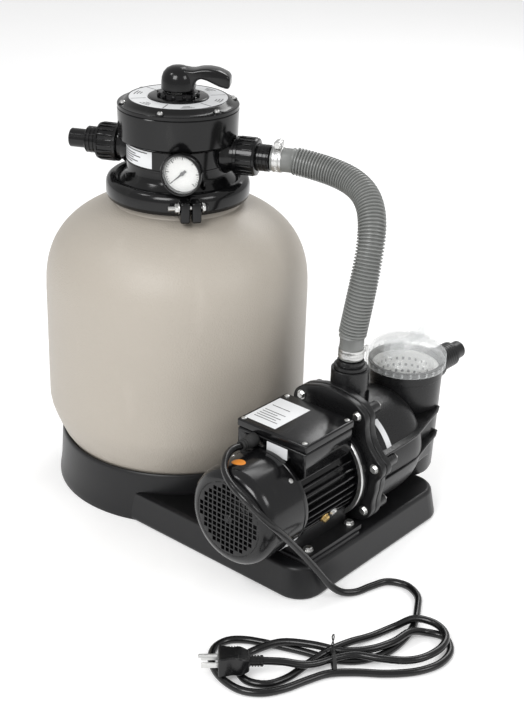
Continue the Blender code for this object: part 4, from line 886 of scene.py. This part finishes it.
def makeHose():
    hose = {"outer": 16.75, "valley": 14, "cuff": 14.5, "pitch": 3.9, "cuffLength": 30, "low": 234.5}
    start = portWay * 118.5 + Vector((0, 0, portHeight))
    bend = portWay * (117 + hose["cuffLength"]) + Vector((0, 0, portHeight))
    foot = Vector((261, 22.5, hose["low"]))
    landing = foot + Vector((0, 0, hose["cuffLength"]))
    first = bend + portWay * 116 + Vector((0, 0, -15.8))
    second = landing + Vector((21.1, 10.7, 163.9))

    def spot(t):
        near, far = (1 - t) ** 3 * bend, t**3 * landing
        return near + 3 * (1 - t) ** 2 * t * first + 3 * (1 - t) * t * t * second + far

    fine = [spot(index / 600) for index in range(601)]
    run = [0.0]
    for before, after in zip(fine, fine[1:]):
        run.append(run[-1] + (after - before).length)
    ribs = int(run[-1] / hose["pitch"])
    cuff = hose["cuff"] / hose["outer"]
    dip = hose["valley"] / hose["outer"]
    points = [start, start.lerp(bend, 0.35), start.lerp(bend, 0.88), start.lerp(bend, 0.93)]
    swell = [cuff, cuff, cuff, 0.95]
    wave = (dip, 0.93, 1.0, 1.0, 0.93, dip)
    seek = 0
    for index in range(ribs * 6):
        reach = (index // 6 + (0.04, 0.2, 0.34, 0.64, 0.78, 0.94)[index % 6]) * run[-1] / ribs
        while run[seek + 1] < reach:
            seek += 1
        share = (reach - run[seek]) / (run[seek + 1] - run[seek])
        points.append(fine[seek].lerp(fine[seek + 1], share))
        swell.append(wave[index % 6])
    points += [foot.lerp(landing, 0.93), foot.lerp(landing, 0.88), foot.lerp(landing, 0.35), foot]
    swell += [0.95, cuff, cuff, cuff]
    sleeve = tubeCurve("transferHose", points, hose["outer"], 12, swell)
    choose(sleeve)
    bpy.ops.object.convert(target="MESH")
    done(smooth(bpy.context.object, 50), "transferHose", "hose", "transfer_hose")
    for word, place, low, turn in (("Top", portFrame(portTurn), 121, 180),
                                   ("Bottom", dischargeFrame, 236.5, 90)):
        inner, outer = 14.7, 15.6
        band = [(inner, low), (outer - 0.2, low), (outer, low + 0.6), (outer - 0.1, low + 3),
                (outer - 0.3, low + 3.4), (outer - 0.3, low + 7.6), (outer - 0.1, low + 8),
                (outer, low + 10.4), (outer - 0.2, low + 11), (inner, low + 11)]
        strap = lathe(band, None, 64, True)
        house = block((outer - 0.4, -7.4, low + 0.8), (outer + 7.4, 7.4, low + 10.2), 1.6)
        flap = block((outer - 0.3, -8, low + 1.6), (outer + 0.7, 8, low + 9.4), 0.3)
        worm = rod((outer + 4.2, -8.4, low + 5.5), (outer + 4.2, 8.4, low + 5.5), 3.7, 20, 0.6)
        head = rod((outer + 4.2, 8, low + 5.5), (outer + 4.2, 10.8, low + 5.5), 4.5, 6, 0.5)
        teeth = [settle(block((outer - 0.4, -0.5, low + 3.7), (outer + 0.1, 0.5, low + 7.3), 0),
                        spun("Z", 40 + index * 13)) for index in range(22)]
        clip = merged(strap, house, flap, worm, head, *teeth)
        settle(smooth(clip), spun("Z", turn))
        settle(clip, place)
        done(clip, f"hoseClamp{word}", "steel", f"hose_clamp_{word.lower()}")


flangeHalf = [(30, 93.5), (47, 85.5), (53.5, 76.5), (54.5, 64), (60, 45), (71.5, 31),
              (80.8, 23), (81.5, 12), (75.5, 2), (73.5, -13), (70.5, -29), (70, -42),
              (64, -52), (30, -61)]
flangeEdge = [(0, 98.5), *flangeHalf, *[(-x, up) for x, up in reversed(flangeHalf)]]
boltSpots = [(41.5, 77), (70.6, 18.4), (59.6, -42), (-41.5, 77), (-70.6, 18.4), (-59.6, -42)]
ribLevels = (101, 135)


def makePump():
    pump = {"pot": (45, 190.5), "potFoot": 43, "collar": 22.9, "collarTop": 222}
    outline = [(x * 0.9985, -up * 0.9985) for x, up in flangeEdge]
    drum = lathe([
        (0, -2.5), (69.2, -2.5), (69.8, 4), (70.3, 18), (70.4, 40), (70.3, 58),
        (69.6, 71), (68.2, 80), (65.8, 88), (62.5, 95), (57.5, 101), (51, 105.5),
        (43, 108.6), (33, 110.7), (16, 111.8), (0, 112),
    ], motorFrame, 96)
    carve(drum, block((150, -50, 0), (370, 200, 45.2), 0))
    rim = plate(outline, -5.8, 4, 1.4, motorFrame, True)
    carve(rim, block((150, -50, 0), (370, 200, 45.2), 0))
    low, high = pump["pot"]
    wall = [(0, low), (pump["potFoot"] - 6, low), (pump["potFoot"] - 1.8, low + 1.6),
            (pump["potFoot"], low + 6)]
    wall += [(46.5, 172), (46.6, 176), (47, 176.5), (47, high), (43.2, high), (39.5, low + 6),
             (36, low + 4.2), (0, low + 4)]
    pot = lathe(wall, potFrame, 96)
    sides = [(321, 2), (316, 50), (311, 95), (307, 139)]
    sides += [(522 - x, y) for x, y in reversed(sides)]
    wide = [(333.8, 2.2), (333.4, 45), (332.2, 70), (328, 88), (322.5, 108), (317.2, 130), (314, 142),
            (308, 154)]
    wide += [(522 - x, y) for x, y in reversed(wide)]
    channel = plate(sides, 72, 136.8, 4)
    webs = [plate(wide, z, z + 3, 0.8) for z in ribLevels]
    fins = [block((x, 64, 103), (x + 2.6, 74, 136), 0.8) for x in (200, 319.4)]
    inside = [(0, 52), (39.2, 52), (42.8, 210), (0, 210)]
    strip = patch(70.6, 0.2, (-55, -24), (17.5, 26.5), motorFrame, 14)
    done(strip, "drumLabel", "label")
    joined = [channel, *webs, *fins]
    for part in joined:
        carve(part, lathe(inside, potFrame, 48))
    collar = pump["collar"]
    neck = [(16.6, 150), (collar - 2.4, 150), (collar - 2, 196), (collar, 196.8), (collar, 221.2)]
    neck += [(collar - 0.8, pump["collarTop"]), (16.6, pump["collarTop"])]
    riser = lathe(neck, dischargeFrame, 64, True)
    ribs = ringOf(6, lambda: block((collar - 3, -1.2, 156), (collar + 1.6, 1.2, 195), 0.6), dischargeFrame,
                  30)
    spout = [(16.9, 183), (19.8, 183), (19.8, 189), (20.5, 190), (20.5, 206.6), (16.9, 206.6)]
    mouth = lathe(spout, suctionFrame, 56, True)
    bosses = []
    for x, up in boltSpots:
        boss = lathe([(0, -4), (7.5, -4), (7.4, 20), (6.6, 21.6), (0, 21.6)], None, 28)
        bosses.append(settle(boss, motorFrame @ at((x, -up, 0))))
    drain = rod((231, 140, 62), (208.5, 140, 62), 10, 32)
    carve(drain, lathe(inside, potFrame, 48))
    done(merged(drum, rim, pot, *joined, riser, mouth, drain, *ribs, *bosses), "pumpBody", "pump",
         "pump_body")
    sealing = plate(outline, -15.4, -6.4, 1.4, motorFrame, True)
    carve(sealing, block((150, -50, 0), (370, 200, 45.2), 0))
    carve(sealing, rod((261, -30, 108), (261, 30, 108), 13.9, 40, 0))
    done(sealing, "sealPlate", "pump", "seal_plate")
    bolts = []
    for x, up in boltSpots:
        bolt = hexBolt(4.8, 3.6, 2.6, 6)
        bolts.append(settle(bolt, motorFrame @ at((x, -up, 22))))
        nut = hexBolt(4.8, 3.4, 2.6, 1)
        bolts.append(settle(nut, motorFrame @ at((x, -up, -15.8)) @ spun("X", 180)))
    done(merged(*bolts), "pumpBolts", "steel")
    tail = lathe(adapterShape(16.25, 200, 220, 232.5, 256.5), dischargeFrame, 56, True)
    done(tail, "dischargeAdapter", "pump", "discharge_adapter")
    ring = lathe([(16.8, 222.2), (19.6, 222.2), (20, 222.8), (19.6, 226.2), (16.8, 226.6)], dischargeFrame,
                 48,
                 True)
    done(ring, "dischargeCollar", "pump")
    tail = lathe(adapterShape(16.25, 189, 205, 243, 263), suctionFrame, 56, True)
    done(tail, "suctionAdapter", "pump", "suction_adapter")
    plugHead = hexBolt(8.2, 6, 5.8, 16)
    settle(plugHead, at((207.5, 140, 62)) @ spun("Y", -90))
    done(plugHead, "drainPlug", "pump", "drain_plug")


def makeStrainer():
    lid = {"low": 187.5, "high": 206, "radius": 50.5}
    low, high, radius = lid["low"], lid["high"], lid["radius"]
    shape = [
        (47.7, low), (radius - 0.6, low), (radius, low + 0.6), (radius, low + 3), (radius - 0.8, low + 3.6),
        (radius - 0.8, low + 6.6), (radius, low + 7.2), (radius, low + 10), (radius - 0.8, low + 10.6),
        (radius - 0.8, low + 13.6), (radius, low + 14.2), (radius, high - 3), (radius - 1.2, high - 1.2),
        (46.2, high + 0.4), (44.6, high + 3), (42, high + 6.2), (37, high + 9.6),
        (30, high + 12.2), (20, high + 14.2), (10, high + 15.1), (0, high + 15.4),
        (0, high + 13), (20, high + 11.7), (30, high + 9.7), (36, high + 7.4),
        (40.8, high + 4), (42.6, high + 0.6), (45, high - 3), (47.7, high - 7),
    ]
    dome = lathe(shape, potFrame, 96)
    pieces = [dome]
    pieces += ringOf(30, lambda: block((radius - 1.2, -1.1, low + 0.8), (radius - 0.1, 1.1, low + 6.5), 0.4),
                     potFrame)
    wing = [(-44, 208), (-43, 231), (-40, 233.5), (-30, 232.5), (-18, 230), (-11, 221.5),
            (11, 221.5), (18, 230), (30, 232.5), (40, 233.5), (43, 231), (44, 208)]
    for side in (-4.5, 4.5):
        fin = plate(wing, side - 0.9, side + 0.9, 0.4, None)
        settle(fin, spun("X", 90))
        pieces.append(settle(fin, potFrame @ spun("Z", 90)))
    done(merged(*pieces), "strainerLid", "clear", "strainer_lid", body="lid")
    done(lathe([(43.5, 190.8), (46.7, 190.8), (46.7, 193.2), (43.5, 193.2)], potFrame, 72, True),
         "lidRing", "rubber", "lid_oring", body="lid_seal")
    cup = [
        (0, 63.2), (31.8, 63.2), (32.5, 64), (37.8, 183.5), (41.2, 184), (41.4, 186.2),
        (37.2, 186.6), (36, 185), (30.8, 65), (0, 65),
    ]
    basket = lathe(cup, None, 72)
    slots = []
    for level in range(13):
        for index in range(28):
            angle = 360 * (index + level % 2 / 2) / 28
            slot = block((28, -1.8, 71 + level * 8.6), (45, 1.8, 75.6 + level * 8.6), 0)
            slots.append(settle(slot, spun("Z", angle)))
    carve(basket, merged(*slots))
    settle(smooth(basket), potFrame)
    done(basket, "strainerBasket", "white", "strainer_basket", body="basket")


def makeMotor():
    motor = {"frameY": (-125, -26.3), "root": 50.2, "tip": 56.5, "fins": 36}
    low, high = motor["frameY"]
    outline = []
    for index in range(motor["fins"]):
        centre = 2 * math.pi * index / motor["fins"]
        half = math.pi / motor["fins"]
        for radius, share in ((motor["root"], -0.42), (motor["tip"] - 0.6, -0.24),
                              (motor["tip"] - 0.1, -0.12),
                              (motor["tip"] - 0.1, 0.12), (motor["tip"] - 0.6, 0.24), (motor["root"], 0.42)):
            outline.append((radius * math.cos(centre + share * half),
                            radius * math.sin(centre + share * half)))
    case = plate(outline, low, high, 0.2, motorFrame)
    carve(case, rod((261, low - 10, 108), (261, high + 10, 108), 46.6, 72, 0))
    done(smooth(case, 30), "motorFrame", "motor", "motor_frame")
    rim = lathe([(16.1, -26), (62.5, -26), (64.3, -25), (64.5, -24), (64.5, -17.5),
                 (63.8, -16), (16.1, -15.8)], motorFrame, 96, True)
    done(rim, "motorFlange", "motor", "motor_flange")
    ring = lathe([(58.8, -29.8), (63.6, -29.8), (64, -29), (64, -26.4), (58.8, -26.4)], motorFrame, 96, True)
    done(ring, "motorFlangeRing", "steel")
    face, back, radius, grille = -192, -123.5, 60, 47
    shell = lathe([
        (radius - 0.3, back), (radius, back - 0.6), (radius, back - 5), (radius - 0.8, back - 5.6),
        (radius - 0.8, face + 15), (radius - 1.2, face + 12), (radius - 3.2, face + 6.2),
        (radius - 6.4, face + 2.8), (grille + 2, face + 0.6), (grille, face), (0, face), (0, face + 2),
        (grille - 0.4, face + 2.1), (radius - 7.2, face + 4.8), (radius - 3.6, face + 12), (radius - 3, back),
    ], None, 96, True)
    holes = []
    pitch, half = 6.6, 2.45
    for column in range(-6, 7):
        for row in range(-6, 7):
            x, y = column * pitch, row * pitch
            if 6.5 < math.hypot(x, y) < 40.5:
                holes.append(block((x - half, y - half, face - 4), (x + half, y + half, face + 3.5), 0))
    carve(shell, merged(*holes))
    settle(smooth(shell, 32), motorFrame)
    rings = [lathe([(44.2, face), (45.8, face), (45.5, face + 0.5), (44.5, face + 0.5)],
                   motorFrame, 72, True)]
    rings.append(lathe([(0, face), (5.2, face), (5.8, face + 0.6), (5.8, face + 3), (0, face + 3)],
                       motorFrame, 32))
    screws = []
    for angle in (45, 135, 225, 315):
        spot = around(angle, radius - 0.8)
        screws.append(lathe([(0, 0), (3, 0), (3, 0.8), (1.6, 1), (0, 1)],
                            motorFrame @ at((spot.x, spot.y, back - 12))
                            @ spot.to_track_quat("Z", "Y").to_matrix().to_4x4(), 16))
    done(merged(shell, *rings), "fanCover", "motor", "fan_cover")
    done(merged(*screws), "fanCoverScrews", "steel")
    seal = lathe([(0, 59.5), *[(share * 6.8, 59.5) for share in (0.2, 0.4, 0.6, 0.8, 0.96)], (6.8, 59)], None,
                 40)
    seal.scale = (1.0, 1.38, 1.0)
    settle(seal)
    for vertex in seal.data.vertices:
        vertex.co.z += math.sqrt(0.0595**2 - vertex.co.y**2) - 0.0595
    lean = motorFrame @ at((0, 0, -165.5)) @ spun("Z", -99)
    settle(seal, lean @ spun("Y", 90))
    done(seal, "checkSticker", "orange")
    done(patch(59.3, 0.2, (30, 46), (-150, -130), motorFrame, 16),
         "coverPanel", "label")
    hub = {"face": -163}
    cone = lathe([(0, hub["face"]), (13.5, hub["face"]), (14, -162), (14, -142.5), (0, -142.5)], motorFrame,
                 40)
    web = lathe([(13, -145.4), (47.8, -145.4), (47.8, -143.6), (13, -143.6)], motorFrame, 64, True)
    blades = ringOf(6, lambda: block((13, -0.9, -160), (46.4, 0.9, -144.6), 0.5), motorFrame)
    done(merged(cone, web, *blades), "coolingFan", "fan", "cooling_fan", body="motor_rotor")


def makeTerminalBox():
    box = {"x": (211, 311), "y": (-122, -34), "z": (150, 180), "lid": 190.5}
    x, y, z = box["x"], box["y"], box["z"]
    body = block((x[0], y[0], z[0] - 6), (x[1], y[1], z[1]), 3, None, 4)
    carve(body, rod((261, -200, 108), (261, 0, 108), 56.8, 96, 0))
    carve(body, block((180, -200, 100), (350, 0, z[0] + 0.8), 0))
    carve(body, rod((238, y[0] - 10, 173.8), (238, y[0] + 10, 173.8), 4.5, 24, 0))
    ribs = [block((px, y[1] - 0.4, 153), (px + 1.6, y[1] + 1, 178), 0.5) for px in (228, 245, 275, 292)]
    done(merged(body, *ribs), "terminalBox", "motor", "terminal_box")
    lid = block((x[0] - 1, y[0] + 0.1, z[1] + 0.3), (x[1] + 1, y[1] + 0.9, box["lid"]), 2.6, None, 4)
    done(lid, "terminalLid", "motor", "terminal_lid")
    screws = [settle(panScrew(3.4, 1.8), at((px, py, box["lid"] - 0.6)))
              for px in (x[0] + 5.5, x[1] - 5.5) for py in (y[0] + 5.5, y[1] - 5.5)]
    done(merged(*screws), "lidScrews", "steel")
    done(block((214.5, -113.5, box["lid"] + 0.05), (260, -50, box["lid"] + 0.3), 0.1), "ratingLabel", "label")
    marks = [block((219.5, py, box["lid"] + 0.3), (219.5 + long, py + 1.2, box["lid"] + 0.4), 0)
             for py, long in ((-103, 34), (-98, 28), (-93, 31), (-88, 22), (-83, 30), (-70, 26))]
    done(merged(*marks), "ratingLabelBars", "ink")
    done(block((256, -122.4, 163.5), (286, -121.95, 177.5), 0.1), "sideLabel", "label")
    gland = [(4.5, -147), (6, -147), (6.4, -146.2), (6.4, -144.8), (5.6, -144.4), (5.6, -143.4),
             (6.7, -143), (6.7, -141.6), (5.9, -141.2), (5.9, -140.2), (7, -139.8), (7, -138.4),
             (6.4, -138), (7.8, -134), (8, -133), (8, -122.7), (4.5, -122.7)]
    done(lathe(gland, at((238, 0, 173.8)) @ spun("X", -90), 36, True),
         "cableGland", "rubber", "cable_gland")
    nuts = [settle(hexBolt(5.2, 3.8, 3, 2), at((px, py, 50.7)))
            for px in (211, 311) for py in (-108, -30)]
    done(merged(*nuts), "footBolts", "steel")
    side = at((261, 0, 108)) @ spun("Y", 116)
    lug = hexBolt(4.6, 3.4, 2, 2)
    settle(lug, side @ at((0, -66, 56.6)))
    done(lug, "groundWasherScrew", "steel")
    ground = hexBolt(5.2, 4.8, 2, 2)
    settle(ground, side @ at((2, -80, 56.6)))
    done(ground, "groundScrew", "brass")


for make in (makeTank, makeBase, makeClamp, makeValve, makeHandle, makeGauge, makePorts, makeHose, makePump,
             makeStrainer,
             makeMotor, makeTerminalBox):
    make()
    print(make.__name__)

dropSelection()
bpy.ops.mesh.primitive_plane_add(size=9, location=(0, 0, 0))
floor = bpy.context.object
floor.name = "floor"
floor.data.materials.append(mats["floor"])
